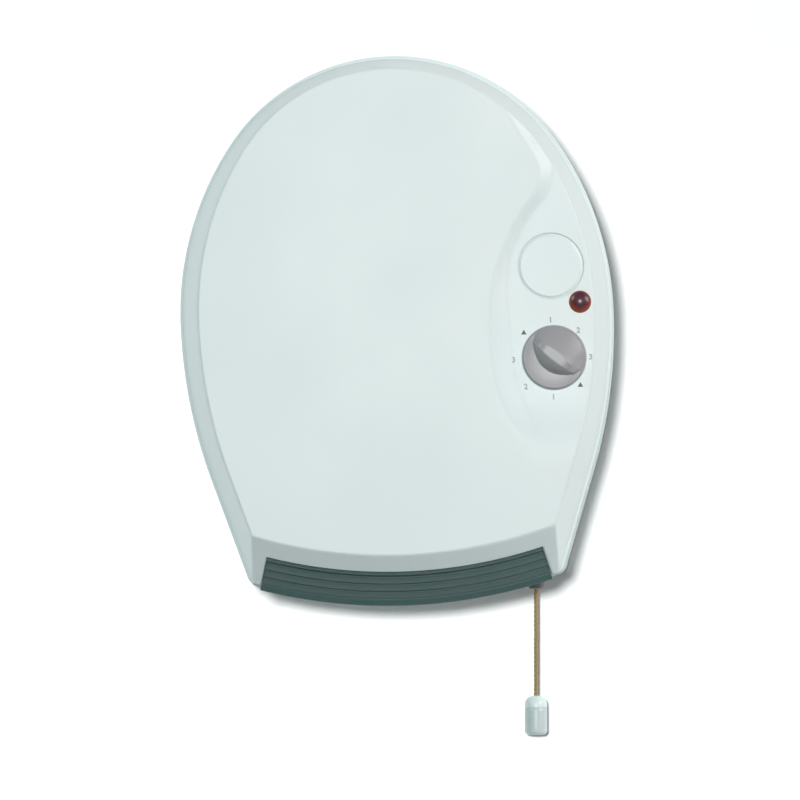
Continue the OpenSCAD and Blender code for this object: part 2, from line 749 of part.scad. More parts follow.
module lamp_clip() color("silver") difference() {
    peg(lamp_neck_r + 0.7, lamp_x, lamp_z, shelf_back - 0.8, shelf_back);
    peg(lamp_neck_r + run_gap, lamp_x, lamp_z, shelf_back - 1, shelf_back + 1);
}

module control_knob() color("thistle") difference() {
    union() {
        translate([knob_x, 0, knob_z]) rotate([90, 0, 0]) rotate_extrude($fn = 96) polygon([[0, knob_back],
            [knob_r, knob_back], [knob_r, knob_back + knob_rim - 1], [knob_r - 1, knob_back + knob_rim],
            [knob_r - 5, knob_back + knob_rim - 1.5], [0, knob_back + knob_rim - 1.5]]);
        intersection() {
            peg(knob_r - 2, knob_x, knob_z, knob_back + 1, knob_front);
            translate([knob_x, 0, knob_z]) rotate([0, 40, 0])
                block([-knob_r, knob_r], [knob_back + 1, knob_front], [-grip_w / 2, grip_w / 2]);
        }
        peg(spindle_r + 2.5, knob_x, knob_z, knob_back, spindle_front + 2);
    }
    intersection() {
        peg(spindle_r + run_gap, knob_x, knob_z, knob_back - 1, spindle_front + 0.5);
        block([knob_x - 5, knob_x + 5], [knob_back - 1, spindle_front + 1],
            [knob_z - 5, knob_z + spindle_r / 2 + run_gap]);
    }
}

module switch_spindle() color("lightgray") {
    peg(spindle_r, knob_x, knob_z, switch_depths[0] + 4, shelf_depth);
    intersection() {
        peg(spindle_r, knob_x, knob_z, shelf_depth - 1, spindle_front);
        block([knob_x - 5, knob_x + 5], [shelf_depth - 2, spindle_front + 1],
            [knob_z - 5, knob_z + spindle_r / 2]);
    }
}

module switch_body() color("dimgray") difference() {
    union() {
        block([knob_x - switch_half, knob_x + switch_half], switch_depths,
            [knob_z - switch_half, knob_z + switch_half]);
        peg(5.5, knob_x, knob_z, switch_depths[1] - 1, shelf_back);
        for (side = [-1, 1])
            peg(2 * switch_screw_r, knob_x + side * switch_screw_x, knob_z, switch_depths[1] - 1, shelf_back);
    }
    peg(spindle_r + run_gap, knob_x, knob_z, switch_depths[0] + 4 - seat_gap, shelf_back + 1);
    for (side = [-1, 1]) peg(switch_screw_r + thread_gap, knob_x + side * switch_screw_x, knob_z,
        switch_depths[1] - 7, shelf_back + 1);
}

module switch_screws() color("silver") for (side = [-1, 1])
    screw_back(switch_screw_r, 12, 2 * switch_screw_r, switch_screw_sunk,
        knob_x + side * switch_screw_x, knob_z, shelf_depth - switch_screw_sunk);

module switch_tabs() color("gold") for (i = [-1, 0, 1]) for (j = [-1, 1])
    let (x = knob_x + i * tab_step[0], z = knob_z + j * tab_step[1])
        block([x - tab_half[0], x + tab_half[0]], [switch_depths[0] - tab_len, switch_depths[0]],
            [z - tab_half[1], z + tab_half[1]]);

// ---- Pull switch ----

module pull_switch_body() color("white") difference() {
    union() {
        block([pull_x - pull_half, pull_x + pull_half], pull_depths, pull_zs);
        block([pull_x - pull_half, pull_x + pull_half], [pull_depths[0], pull_ear_depth],
            [pull_zs[1] - 1, pull_zs[1] + 7]);
    }
    block([pull_x - slide_half - fit, pull_x + slide_half + fit],
        [pull_depth - slide_half - fit, pull_depth + slide_half + fit], cavity_zs);
    translate([pull_x, -pull_depth, pull_zs[0] - 1]) cylinder(h = 6, r = cord_bore_r);
    for (x = pull_screw_xs) peg(small_screw_r + thread_gap, x, pull_screw_z, 0, pull_depths[1] + 1);
}

module pull_switch_screws() color("silver") for (x = pull_screw_xs)
    screw_back(small_screw_r, pull_ear_depth - wall / 2 - 0.2, pull_screw_head_r, 1.6, x, pull_screw_z,
        pull_ear_depth);

module pull_switch_tabs() color("gold") for (i = [-1, 1]) for (j = [-1, 1])
    let (x = pull_x + i * pull_tab_step[0], depth = pull_depth + j * pull_tab_step[1])
        block([x - pull_tab_half[0], x + pull_tab_half[0]],
            [depth - pull_tab_half[1], depth + pull_tab_half[1]], [pull_zs[1], pull_zs[1] + tab_len]);

module pull_plunger() color("ivory") difference() {
    block([pull_x - slide_half, pull_x + slide_half],
        [pull_depth - slide_half, pull_depth + slide_half], plunger_zs);
    translate([pull_x, -pull_depth, plunger_zs[0] - 1])
        cylinder(h = cord_seat + 2, r = cord_r + run_gap);
}

function spring_path() = let (steps = 10 * spring_turns, rise = spring_zs[1] - spring_zs[0])
    [for (i = [0:steps]) let (a = 360 * spring_turns * i / steps)
        [pull_x + spring_r * cos(a), spring_r * sin(a) - pull_depth, spring_zs[0] + rise * i / steps]];

module plunger_spring() color("silver") tube(spring_path(), spring_wire_r, 6, [0, 0, 1]);

module cord_bush() color("whitesmoke") translate([pull_x, -pull_depth, 0]) difference() {
    union() {
        translate([0, 0, bush_low_z]) cylinder(h = pull_zs[0] - bush_low_z, r = cord_bush_r);
        translate([0, 0, bush_low_z]) cylinder(h = 1.2, r = cord_bush_r + 0.8);
    }
    translate([0, 0, bush_low_z - 1]) cylinder(h = 20, r = cord_bore_r);
    translate([0, 0, bush_low_z - eps]) cylinder(h = 1.6, r1 = cord_bore_r + 1.2, r2 = cord_bore_r);
}

module cord_tail() color("tan") translate([pull_x, -pull_depth, 0]) {
    translate([0, 0, cord_route[0][2] + swing_gap])
        cylinder(h = plunger_zs[0] + cord_seat - cord_route[0][2] - swing_gap, r = cord_r);
}

module pull_cord() color("tan") tube(cord_route, cord_r, 8, [0, 1, 0]);

module pull_toggle() color("honeydew")
    translate(toggle_top) rotate([0, cord_lean, 0]) difference() {
        translate([0, 0, -toggle_len]) rotate_extrude($fn = 64) polygon(concat(
            [[0, 0], [toggle_r - toggle_edge_r, 0]],
            arc([toggle_r - toggle_edge_r, toggle_edge_r], toggle_edge_r, -90, 0, 5),
            [for (i = [0:6]) let (a = 15 * i) [toggle_dome_r + (toggle_r - toggle_dome_r) * cos(a),
                toggle_len - toggle_dome_h * (1 - sin(a))]], [[0, toggle_len]]));
        translate([0, 0, -2 * cord_in_toggle]) cylinder(h = 8, r = cord_r + 0.35);
    }

// ---- Blower ----

function from_fan(r, a) = [fan_depth, fan_z] + r * [cos(a), sin(a)];

function scroll_at(i, extra) = let (
    a = scroll_angles[0] + (scroll_angles[1] - scroll_angles[0]) * i / 16,
    r = scroll_r[0] + (scroll_r[1] - scroll_r[0]) * i / 16)
    from_fan(r + extra, a);

module fan_scroll() color("lightsteelblue") across(left_x, right_x) polygon(concat(
    [scroll_at(0, 5)], [for (i = [0:16]) scroll_at(i, 0)],
    [duct_rear_end, duct_rear_end - sheet * duct_side],
    [for (i = [16:-1:1]) scroll_at(i, sheet)], [scroll_at(0.6, sheet), scroll_at(0.6, 5)]));

module fan_tongue() color("lightsteelblue") across(left_x, right_x) {
    polygon([tongue_tip, duct_front_end, duct_front_end + sheet * duct_side,
        tongue_tip + sheet * duct_side]);
    translate(tongue_tip + 1.5 * duct_side) circle(r = 1.5);
}

module plate_shape() {
    margin = 1.5 * duct_side;
    difference() {
        union() {
            translate([fan_depth, fan_z]) circle(r = scroll_r[1] + 2.5, $fn = 96);
            polygon([scroll_end - margin, duct_rear_end - margin, duct_front_end + margin,
                tongue_tip + margin]);
            for (z = foot_zs) translate([foot_boss, z - foot_h / 2]) square([fan_depth - foot_boss, foot_h]);
        }
        translate([fan_depth, fan_z]) circle(r = bearing_hole_r + run_gap);
    }
}

module foot_flanges(from, to, screw_x) {
    for (z = foot_zs) difference() {
        block([from, to], [foot_boss, foot_boss + plate_t], [z - foot_h / 2, z + foot_h / 2]);
        peg(cover_screw_r + 0.4, screw_x, z, foot_boss - 1, foot_boss + plate_t + 1);
    }
}

module left_end_plate() color("lightsteelblue") {
    difference() {
        across(left_x - plate_t, left_x) plate_shape();
        for (z = bolt_zs) bar(bolt_r + thread_gap, left_x - plate_t - 1, left_x + 1, fan_depth, z);
    }
    foot_flanges(left_x - plate_t - foot_out, left_x, foot_screw_xs[0]);
}

module right_end_plate() color("lightsteelblue") {
    difference() {
        across(right_x, right_x + plate_t) plate_shape();
        bar(lead_hole_r, right_x - 1, right_x + plate_t + 1, heater_mid[0], heater_mid[1]);
    }
    foot_flanges(right_x, right_x + plate_t + foot_out, foot_screw_xs[1]);
}

module fan_screws() color("silver") for (x = foot_screw_xs) for (z = foot_zs)
    screw_back(cover_screw_r, foot_boss + plate_t - 2, 3.4, 2, x, z, foot_boss + plate_t);

function blade_side(lean) = [for (i = [0:4]) let (
    r = wheel_r - blade_depth + blade_depth * i / 4,
    a = blade_sweep * pow(i / 4, 2) + lean * blade_t / 2 / r * 180 / PI) [r * cos(a), r * sin(a)]];

function reversed(list) = [for (i = [len(list) - 1:-1:0]) list[i]];

module fan_wheel() color("silver") difference() {
    union() {
        across(wheel_ends[0] + rim, wheel_ends[1] - rim) translate([fan_depth, fan_z])
            for (k = [0:blade_count - 1]) rotate(360 * k / blade_count)
                polygon(concat(blade_side(-1), reversed(blade_side(1))));
        bar(wheel_r + rim, wheel_ends[0], wheel_ends[0] + disc_t, fan_depth, fan_z);
        bar(wheel_r + rim, wheel_ends[1] - disc_t, wheel_ends[1], fan_depth, fan_z);
        bar(hub_r, wheel_ends[0], wheel_ends[0] + 9, fan_depth, fan_z);
        bar(hub_r, wheel_ends[1] - 9, wheel_ends[1], fan_depth, fan_z);
        for (share = [1 / 3, 2 / 3]) let (x = wheel_ends[0] + share * (wheel_ends[1] - wheel_ends[0]))
            difference() {
                bar(wheel_r + rim, x - disc_t / 2, x + disc_t / 2, fan_depth, fan_z);
                bar(wheel_r - blade_depth - rim, x - disc_t, x + disc_t, fan_depth, fan_z);
            }
    }
    bar(shaft_r + run_gap, wheel_ends[0] - 1, wheel_ends[1] + 1, fan_depth, fan_z);
}

module fan_shaft() color("gray")
    bar(shaft_r, outer_x - plate_t - 4, right_x + plate_t + 8, fan_depth, fan_z);

module bearing_mount() color("black") difference() {
    union() {
        bar(bearing_hole_r + 2, right_x - 1.2, right_x, fan_depth, fan_z);
        bar(bearing_hole_r, right_x - 1, right_x + plate_t + 1, fan_depth, fan_z);
        bar(bearing_hole_r + 2, right_x + plate_t, right_x + plate_t + 4, fan_depth, fan_z);
    }
    bar(bush_r + run_gap, right_x - 2, right_x + plate_t + 5, fan_depth, fan_z);
}

module bearing_bush() color("darkkhaki") difference() {
    bar(bush_r, right_x - 1.2, right_x + plate_t + 5, fan_depth, fan_z);
    bar(shaft_r + run_gap, right_x - 2, right_x + plate_t + 6, fan_depth, fan_z);
}

// ---- Motor ----

module motor_rotor() color("gray") difference() {
    bar(rotor_r, stack_end - 0.5, stack_x + 0.5, fan_depth, fan_z);
    bar(shaft_r + run_gap, stack_end - 1, stack_x + 1, fan_depth, fan_z);
}

module motor_stator() color("slategray") difference() {
    block([stack_end, stack_x], [fan_depth - stack_half, fan_depth + stack_half], stack_zs);
    bar(rotor_r + air_gap, stack_end - 1, stack_x + 1, fan_depth, fan_z);
    block([stack_end - 1, stack_x + 1], [fan_depth - leg_half, fan_depth + leg_half], window_zs);
    for (z = bolt_zs) bar(bolt_r + thread_gap, stack_end - 1, stack_x + 1, fan_depth, z);
}

module around_leg(grow) {
    block([stack_end - grow, stack_x + grow], [fan_depth - leg_half - 1, fan_depth + leg_half + 1],
        [window_zs[1] - grow, stack_zs[1] + grow]);
}

module coil_bobbin() color("white") difference() {
    intersection() {
        union() {
            around_leg(seat_gap + bobbin_t);
            for (side = [-1, 1]) let (mid = fan_depth + side * (leg_half - 0.8))
                intersection() {
                    around_leg(coil_t + 1);
                    block([stack_end - 30, stack_x + 30], [mid - 0.5, mid + 0.5],
                        [window_zs[1] - 30, stack_zs[1] + 30]);
                }
        }
        block([stack_end - 30, stack_x + 30],
            [fan_depth - leg_half + seat_gap, fan_depth + leg_half - seat_gap],
            [window_zs[1] - 30, stack_zs[1] + 30]);
    }
    around_leg(seat_gap);
}

module motor_coil() color("peru") difference() {
    intersection() {
        around_leg(coil_t);
        block([stack_end - 30, stack_x + 30], [fan_depth - leg_half + 1.5, fan_depth + leg_half - 1.5],
            [window_zs[1] - 30, stack_zs[1] + 30]);
    }
    around_leg(seat_gap + bobbin_t + run_gap);
}

// Strap with a bearing seat and two tubular legs towards the stack
module motor_bracket(from, to, leg_from, leg_to) {
    difference() {
        union() {
            block([from, to], [fan_depth - 9, fan_depth + 9], [fan_z - 23, fan_z + 21.2]);
            for (z = bolt_zs) bar(3.2, leg_from, leg_to, fan_depth, z);
        }
        bar(bush_r + run_gap, from - 1, to + 1, fan_depth, fan_z);
        for (z = bolt_zs)
            bar(bolt_r + thread_gap, min(from, leg_from) - 1, max(to, leg_to) + 1, fan_depth, z);
    }
}

module inner_bracket() color("silver") motor_bracket(bracket_x - plate_t, bracket_x, stack_x, bracket_x - 1);

module outer_bracket() color("silver") motor_bracket(outer_x - plate_t, outer_x, outer_x - 1, stack_end);

module motor_bearings() color("darkkhaki") for (mid = [bracket_x - plate_t / 2, outer_x - plate_t / 2])
    difference() {
        bar(bush_r, mid - 2.8, mid + 2.8, fan_depth, fan_z);
        bar(shaft_r + run_gap, mid - 4, mid + 4, fan_depth, fan_z);
    }

module motor_spacers() color("gainsboro") for (z = bolt_zs) difference() {
    bar(3.5, bracket_x, left_x - plate_t, fan_depth, z);
    bar(bolt_r + thread_gap, bracket_x - 1, left_x, fan_depth, z);
}

module motor_bolts() color("silver") for (z = bolt_zs)
    translate([outer_x - plate_t, -fan_depth, z]) rotate([0, 90, 0])
        screw_up(bolt_r, left_x + 0.8 - outer_x + plate_t, 3, 2);

// ---- Heater ----

// Frame of the duct at the heater: x across, y across the duct, z along the air's way
module in_duct() {
    translate([0, -heater_mid[0], heater_mid[1]]) rotate([90 + duct_fall, 0, 0]) children();
}

module card(x, y) {
    translate([x[0], y[0], -heater_t / 2]) cube([x[1] - x[0], y[1] - y[0], heater_t]);
}

module heater_frame() color("wheat") in_duct() {
    for (x = [heater_xs[0], heater_xs[1] - card_t]) card([x, x + card_t], [-heater_w / 2, heater_w / 2]);
    for (side = [-1, 0, 1]) let (y = side * (heater_w - card_t) / 2)
        card(heater_xs, [y - card_t / 2, y + card_t / 2]);
}

module heater_wires() color("dimgray") in_duct() for (side = [-1, 1])
    translate([0, side * heater_w / 4, 0]) rotate([90, 0, 0]) linear_extrude(wire_w, center = true) {
        from = heater_xs[0] + card_t;
        count = floor((heater_xs[1] - card_t - from) / zig_pitch);
        step = (heater_xs[1] - card_t - from) / count;
        high = heater_t / 2 - 1.5;
        points = [for (i = [0:count]) [from + i * step, i % 2 == 0 ? -high : high]];
        polygon(concat([for (p = points) p + [0, zig_t]], reversed([for (p = points) p - [0, zig_t]])));
    }

module thermal_cutout() color("silver") in_duct() translate([heater_xs[0] + 30, 0, -heater_t / 2]) {
    translate([0, 0, -4]) cylinder(h = 4, r = 6);
    translate([-9, -3, -2]) cube([18, 6, 1]);
}

module thermal_fuse() color("tomato") in_duct() translate([heater_xs[1] - 40, 0, -heater_t / 2 - 1.8]) {
    rotate([0, 90, 0]) cylinder(h = 12, r = 1.8);
    translate([-9, 0, 0]) rotate([0, 90, 0]) cylinder(h = 30, r = 0.5);
}

// ---- Wiring and cable ----

function terminal_places() = [for (i = [-1, 0, 1])
    for (z = [block_z[0] + block_screw_in, block_z[1] - block_screw_in]) [block_mid_x + i * block_step, z]];

module terminal_block() color("ivory") difference() {
    block(block_x, block_depths, block_z);
    for (place = terminal_places())
        peg(block_well_r, place[0], place[1], block_depths[1] - 8, block_depths[1] + 1);
    way_depth = (block_depths[0] + block_depths[1] - 5) / 2;
    for (i = [-1, 0, 1]) translate([block_mid_x + i * block_step, -way_depth, block_z[0] - 1])
        cylinder(h = block_z[1] - block_z[0] + 2, r = block_way_r);
    for (i = [-0.5, 0.5]) translate([block_mid_x + i * block_step, 0, 0])
        block([-0.8, 0.8], [block_depths[1] - 9, block_depths[1] + 1], [block_z[0] - 1, block_z[1] + 1]);
}

module terminal_screws() color("silver") for (place = terminal_places())
    screw_back(1.2, 2.6, block_well_r - 0.2, 1.4, place[0], place[1], block_depths[1] - 5.4);

module cable_grommet() color("dimgray") difference() {
    union() {
        peg(grommet_flange_r, grommet_x, grommet_z, pocket_depth - 1.8, pocket_depth);
        peg(grommet_neck_r, grommet_x, grommet_z, pocket_depth - 1, pocket_depth + wall + 1);
        peg(grommet_flange_r, grommet_x, grommet_z, pocket_depth + wall, pocket_depth + wall + 1.8);
    }
    peg(cable_r, grommet_x, grommet_z, 0, pocket_depth + wall + 4);
}

module supply_leads() color("saddlebrown") tube(supply_route, 2.4, 8, [0, 0.3, 1]);
module heater_leads() color("whitesmoke") tube(heater_route, 2, 8, [0, 1, 0.1]);
module motor_leads() color("steelblue") tube(motor_route, 1.6, 8, [0, 1, 0.2]);
module pull_leads() color("saddlebrown") tube(pull_route, 1.6, 8, [1, 0, 0]);
module lamp_leads() color("steelblue") tube(lamp_route, 1.3, 8, [0, 1, 0.2]);

back_housing();
front_cover();
outlet_grille();
blanking_cap();
lamp_lens();
lamp_body();
lamp_clip();
control_knob();
switch_spindle();
switch_body();
switch_tabs();
switch_screws();
pull_switch_body();
pull_switch_tabs();
pull_switch_screws();
pull_plunger();
plunger_spring();
cord_tail();
cord_bush();
pull_cord();
pull_toggle();
fan_scroll();
fan_tongue();
left_end_plate();
right_end_plate();
fan_wheel();
fan_shaft();
motor_rotor();
motor_stator();
motor_coil();
coil_bobbin();
inner_bracket();
outer_bracket();
motor_bearings();
motor_spacers();
motor_bolts();
bearing_mount();
bearing_bush();
heater_frame();
heater_wires();
thermal_cutout();
thermal_fuse();
terminal_block();
terminal_screws();
cable_grommet();
cover_screws();
fan_screws();
supply_leads();
heater_leads();
motor_leads();
pull_leads();
lamp_leads();
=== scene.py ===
import json
import math

import bmesh
import bpy
import numpy as np
from mathutils import Matrix, Vector

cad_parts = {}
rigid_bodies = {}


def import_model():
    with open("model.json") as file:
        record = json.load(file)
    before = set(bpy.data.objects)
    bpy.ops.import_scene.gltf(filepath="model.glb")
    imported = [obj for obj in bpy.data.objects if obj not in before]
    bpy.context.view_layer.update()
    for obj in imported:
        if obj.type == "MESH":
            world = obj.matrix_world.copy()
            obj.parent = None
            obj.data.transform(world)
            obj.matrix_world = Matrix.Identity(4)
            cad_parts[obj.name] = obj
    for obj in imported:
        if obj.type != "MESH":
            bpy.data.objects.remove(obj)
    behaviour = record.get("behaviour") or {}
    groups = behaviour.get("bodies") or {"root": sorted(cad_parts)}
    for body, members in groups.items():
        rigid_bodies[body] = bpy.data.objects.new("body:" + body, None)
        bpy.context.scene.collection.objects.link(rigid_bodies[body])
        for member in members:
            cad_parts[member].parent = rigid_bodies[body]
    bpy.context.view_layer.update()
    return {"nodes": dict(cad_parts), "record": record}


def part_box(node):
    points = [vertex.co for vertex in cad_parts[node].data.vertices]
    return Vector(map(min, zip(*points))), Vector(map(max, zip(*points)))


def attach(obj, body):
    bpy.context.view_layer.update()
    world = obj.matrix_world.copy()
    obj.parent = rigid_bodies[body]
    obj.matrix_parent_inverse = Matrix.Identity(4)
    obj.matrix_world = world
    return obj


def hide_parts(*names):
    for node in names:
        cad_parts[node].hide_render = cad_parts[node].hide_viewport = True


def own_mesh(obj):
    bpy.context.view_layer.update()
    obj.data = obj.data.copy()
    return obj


# A bathroom wall fan heater. X runs right as seen from the room, Z up, and the wall is y = 0.
# Shapes are worked out in millimetres and brought to metres when a mesh is made.
# "Depth" is the distance from the wall, so a point at depth d lies at y = -d.
MM = 0.001

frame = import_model()


def span(node):
    """A node's lowest and highest corner, in millimetres."""
    low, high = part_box(node)
    return np.array(low) / MM, np.array(high) / MM


# ---- Sizes of the body, from the frame where it shows them ----

HALF_W = span("back_housing")[1][0]
CROWN_H = span("back_housing")[1][2]
FOOT_DROP = -span("back_housing")[0][2]
BODY_DEPTH = -span("front_cover")[0][1]
COVER_BACK = -span("front_cover")[1][1]
CROWN_TUCK = 11
FLANK_R = 275
FLANK_SLOPE = 18.25
BOTTOM_R = 281
FOOT_CORNER_R = 7
FACE_CORNER_R = 2.5
WALL = 2.4
LEDGE = 1.2
SKIRT_DRAFT = 0.8
BEVEL_DEPTH = 30
FACE_INSET = 12.5
FACE_RISE = 26.4
CROWN_LEAN = 2.8
RIM_W = 1.4

CROWN_R = HALF_W - CROWN_TUCK
CROWN_CZ = CROWN_H - CROWN_R
FLANK_CX = HALF_W - FLANK_R
FLANK_OUT = np.array([math.cos(math.radians(FLANK_SLOPE)), -math.sin(math.radians(FLANK_SLOPE))])
FLANK_DOWN = np.array([FLANK_OUT[1], -FLANK_OUT[0]])
BOTTOM_CZ = BOTTOM_R - FOOT_DROP
BEVEL_START = BODY_DEPTH - BEVEL_DEPTH
KNEE_INSET = LEDGE + SKIRT_DRAFT

# Control shelf and what stands on it
SHELF_DROP = 3.2
SHELF_DEPTH = BODY_DEPTH - SHELF_DROP
SHELF_BACK = SHELF_DEPTH - WALL
KNOB_X, KNOB_Z, KNOB_R = 84, -26.5, 17.4
CAP_X, CAP_Z, CAP_R = 84, 22.5, 17.5
LAMP_X, LAMP_Z, LAMP_R = 99, 2.8, 6
SWITCH_SCREW_X = 11

# Air openings, the screws of the cover and the catches that hold its top
SLOT_W = 3.5
SLOT_PITCH = 9
SLOT_COUNT = 15
SLOT_DEPTHS = (30, 75)
LIP_R = BOTTOM_R - FACE_RISE + 9.3
KNEE_R = BOTTOM_R - KNEE_INSET
SLANT = math.atan2(BEVEL_DEPTH, FACE_RISE - KNEE_INSET)
LOW_RISE = BEVEL_DEPTH / (FACE_RISE - KNEE_INSET)
GRILLE_ANGLE = 16.3
GRILLE_SEAT = BEVEL_START - 3
SCREW_X = 52
SCREW_DEPTH = 32
CATCH_X = (34, 46)
CATCH_DEPTHS = (20.5, 26)
CATCH_LAP = 7

# Pull cord, and the toggle that hangs on its last 3 mm
CORD_D = 2.6
CORD_LEAN = 2.2
CORD_ROUTE = [(70, -12, -150.6), (69.8, -12, -155), (69.7, -12, -159), (69.5, -12, -163),
              (69.4, -12, -167), (69.2, -12, -171), (69.1, -12, -175), (68.9, -12, -179),
              (68.7, -12, -183), (68.6, -12, -187), (68.4, -12, -191), (68.3, -12, -195),
              (68.1, -12, -199), (68, -12, -203), (67.8, -12, -207), (67.6, -12, -212)]
TOGGLE_GRIP = 3
TOGGLE_R = 6.2
TOGGLE_LEN = 21.4
TOGGLE_SEAM = 6.4


# ---- Small helpers ----

def set_all(thing, **settings):
    """Sets a thing's properties: the thing itself."""
    for name, value in settings.items():
        setattr(thing, name, value)
    return thing


def new_object(name, data):
    obj = bpy.data.objects.new(name, data)
    bpy.context.collection.objects.link(obj)
    return obj


def group_of(name, objects):
    group = bpy.data.collections.new(name)
    for obj in objects:
        group.objects.link(obj)
    return group


def modify(obj, kind, **settings):
    """Adds a modifier of a kind with its settings: the modifier."""
    return set_all(obj.modifiers.new(kind.lower(), kind), **settings)


# ---- Camera, stage and light ----

def aim(place, target, up):
    """Matrix of a camera or light at a place, looking at a target."""
    back = (place - target).normalized()
    right = up.cross(back).normalized()
    rows = Matrix((right, back.cross(right), back)).transposed()
    return Matrix.Translation(place) @ rows.to_4x4()


def make_camera():
    """Camera a little right of the middle and a little below it, rolled with the photograph."""
    distance, seen_width, sensor = 4.0, 0.44, 36
    across, below, roll = math.radians(0.8), math.radians(1.64), math.radians(2.2)
    target = Vector((-0.0008, 0, -0.044))
    place = distance * Vector((math.tan(across), -1, -math.tan(below)))
    data = set_all(bpy.data.cameras.new("camera"), sensor_width=sensor, lens=sensor * distance / seen_width,
                   clip_end=50)
    camera = new_object("camera", data)
    camera.matrix_world = aim(place, target, Vector((math.sin(roll), 0, math.cos(roll))))
    bpy.context.scene.camera = camera


def area_light(name, place, size, power, colour, lit, shading=None):
    """Round soft light on the heater's middle that shines on one group, shaded by all or by one group."""
    data = set_all(bpy.data.lights.new(name, "AREA"), shape="DISK", size=size, energy=power, color=colour)
    light = new_object(name, data)
    light.matrix_world = aim(Vector(place), Vector((0, 0, -0.02)), Vector((0, 0, 1)))
    light.light_linking.receiver_collection = lit
    light.light_linking.blocker_collection = shading


def make_lights(heater, room):
    """Soft lights on the heater, and one on the wall that draws the heater's narrow shadow. The side lights
    aren't shaded by the knob and the lamp."""
    body = group_of("body", [obj for obj in heater.objects if obj.name not in ("knob_grip", "lamp_dome")])
    area_light("front", (0.12, -3.6, 0.26), 0.4, 46, (0.99, 0.99, 0.975), heater)
    area_light("right", (2.0, -1.5, 0.75), 1.4, 42, (1, 0.88, 0.885), heater, body)
    area_light("left", (-1.85, -1.3, 1.2), 1.2, 21.4, (0.96, 0.98, 1), heater, body)
    area_light("wall", (-0.19, -3.4, 0.13), 0.3, 114, (0.985, 1, 1), room)


def make_world():
    world = bpy.data.worlds.new("studio")
    world.use_nodes = True
    background = world.node_tree.nodes["Background"]
    background.inputs["Color"].default_value = (0.86, 0.94, 0.93, 1)
    background.inputs["Strength"].default_value = 0.03
    bpy.context.scene.world = world
    bpy.context.scene.view_settings.view_transform = "Standard"


def make_stage():
    """Pale wall just behind the heater and pale floor far below: the group that holds the wall."""
    side, back, front, low, high = 2, 0.0006, -2.2, -1, 1.6
    wall = [(-side, back, low), (side, back, low), (side, back, high), (-side, back, high)]
    floor = [(-side, back, low), (-side, front, low), (side, front, low), (side, back, low)]
    for name, points, glow in (("wall", wall, 0.02), ("floor", floor, 0.06)):
        mesh = bpy.data.meshes.new(name)
        mesh.from_pydata(points, [], [(0, 1, 2, 3)])
        mesh.materials.append(stage_paint(glow))
        new_object(name, mesh)
    return group_of("room", [bpy.data.objects["wall"]])


# ---- Shapes: points in millimetres with faces over them ----

def eased(t):
    """Rise from 0 to 1 with soft ends."""
    t = np.clip(t, 0, 1)
    return t * t * (3 - 2 * t)


def arc(centre, radius, start, end, steps):
    """Points along an arc in degrees, without its first point."""
    a = np.radians(np.linspace(start, end, steps + 1)[1:])
    return np.stack([centre[0] + radius * np.cos(a), centre[1] + radius * np.sin(a)], 1)


def bow(middle, reach, start, end, count):
    """Points of a profile along an oval arc in degrees, in turn round its middle."""
    return [(middle[0] + reach[0] * math.cos(a), middle[1] + reach[1] * math.sin(a))
            for a in np.radians(np.linspace(start, end, count))]


def rounded(corners, radius):
    """Flat polygon whose corners are turned into short curves."""
    corners = np.asarray(corners, float)
    radii = np.broadcast_to(radius, len(corners))
    points = []
    for i, corner in enumerate(corners):
        before, after = corners[i - 1] - corner, corners[(i + 1) % len(corners)] - corner
        start = corner + before * min(0.45, radii[i] / np.linalg.norm(before))
        end = corner + after * min(0.45, radii[i] / np.linalg.norm(after))
        for t in np.linspace(0, 1, 4):
            points.append((1 - t) ** 2 * start + 2 * t * (1 - t) * corner + t * t * end)
    return np.array(points)


def at_depth(places, depth):
    """Places in x and z brought to one depth, or each to its own."""
    return np.stack([places[:, 0], -np.full(len(places), depth, float), places[:, 1]], 1)


def hoop(centre, across, up, radius, steps):
    """Ring of points round a centre, in the plane of two directions."""
    a = np.linspace(0, 2 * np.pi, steps, endpoint=False)[:, None]
    return centre + radius * (np.cos(a) * across + np.sin(a) * up)


def circle(radius, height, steps):
    return hoop((0, 0, height), (1, 0, 0), (0, 1, 0), radius, steps)


def through(rings, loop=False):
    """Shape through rings of as many points each, filled at its ends unless it is a loop."""
    rings = np.asarray(rings, float)
    count, around = rings.shape[:2]
    faces = []
    for i in range(count if loop else count - 1):
        a, b = i * around, (i + 1) % count * around
        faces += [(a + k, a + (k + 1) % around, b + (k + 1) % around, b + k) for k in range(around)]
    if not loop:
        faces.append(tuple(range(around)))
        faces.append(tuple(range((count - 1) * around, count * around)))
    return rings.reshape(-1, 3), faces


def lathe(profile, steps=96, loop=False):
    """Shape turned around Z from points of radius and height."""
    return through([circle(radius, height, steps) for radius, height in profile], loop)


def outward(shape, x, z):
    """Shape whose Z axis is turned to point away from the wall, over a place on it."""
    points, faces = shape
    return np.stack([points[:, 0] + x, -points[:, 2], points[:, 1] + z], 1), faces


def moved(shape, by):
    return shape[0] + np.asarray(by, float), shape[1]


def turned(shape, degrees):
    """Shape turned about Y, the way that runs out from the wall."""
    spin = np.array(Matrix.Rotation(math.radians(degrees), 3, "Y"))
    return shape[0] @ spin.T, shape[1]


def mirrored(shape):
    return shape[0] * (-1, 1, 1), shape[1]


def merged(shapes):
    points, faces, start = [], [], 0
    for some, over in shapes:
        points.append(some)
        faces += [tuple(i + start for i in face) for face in over]
        start += len(some)
    return np.concatenate(points), faces


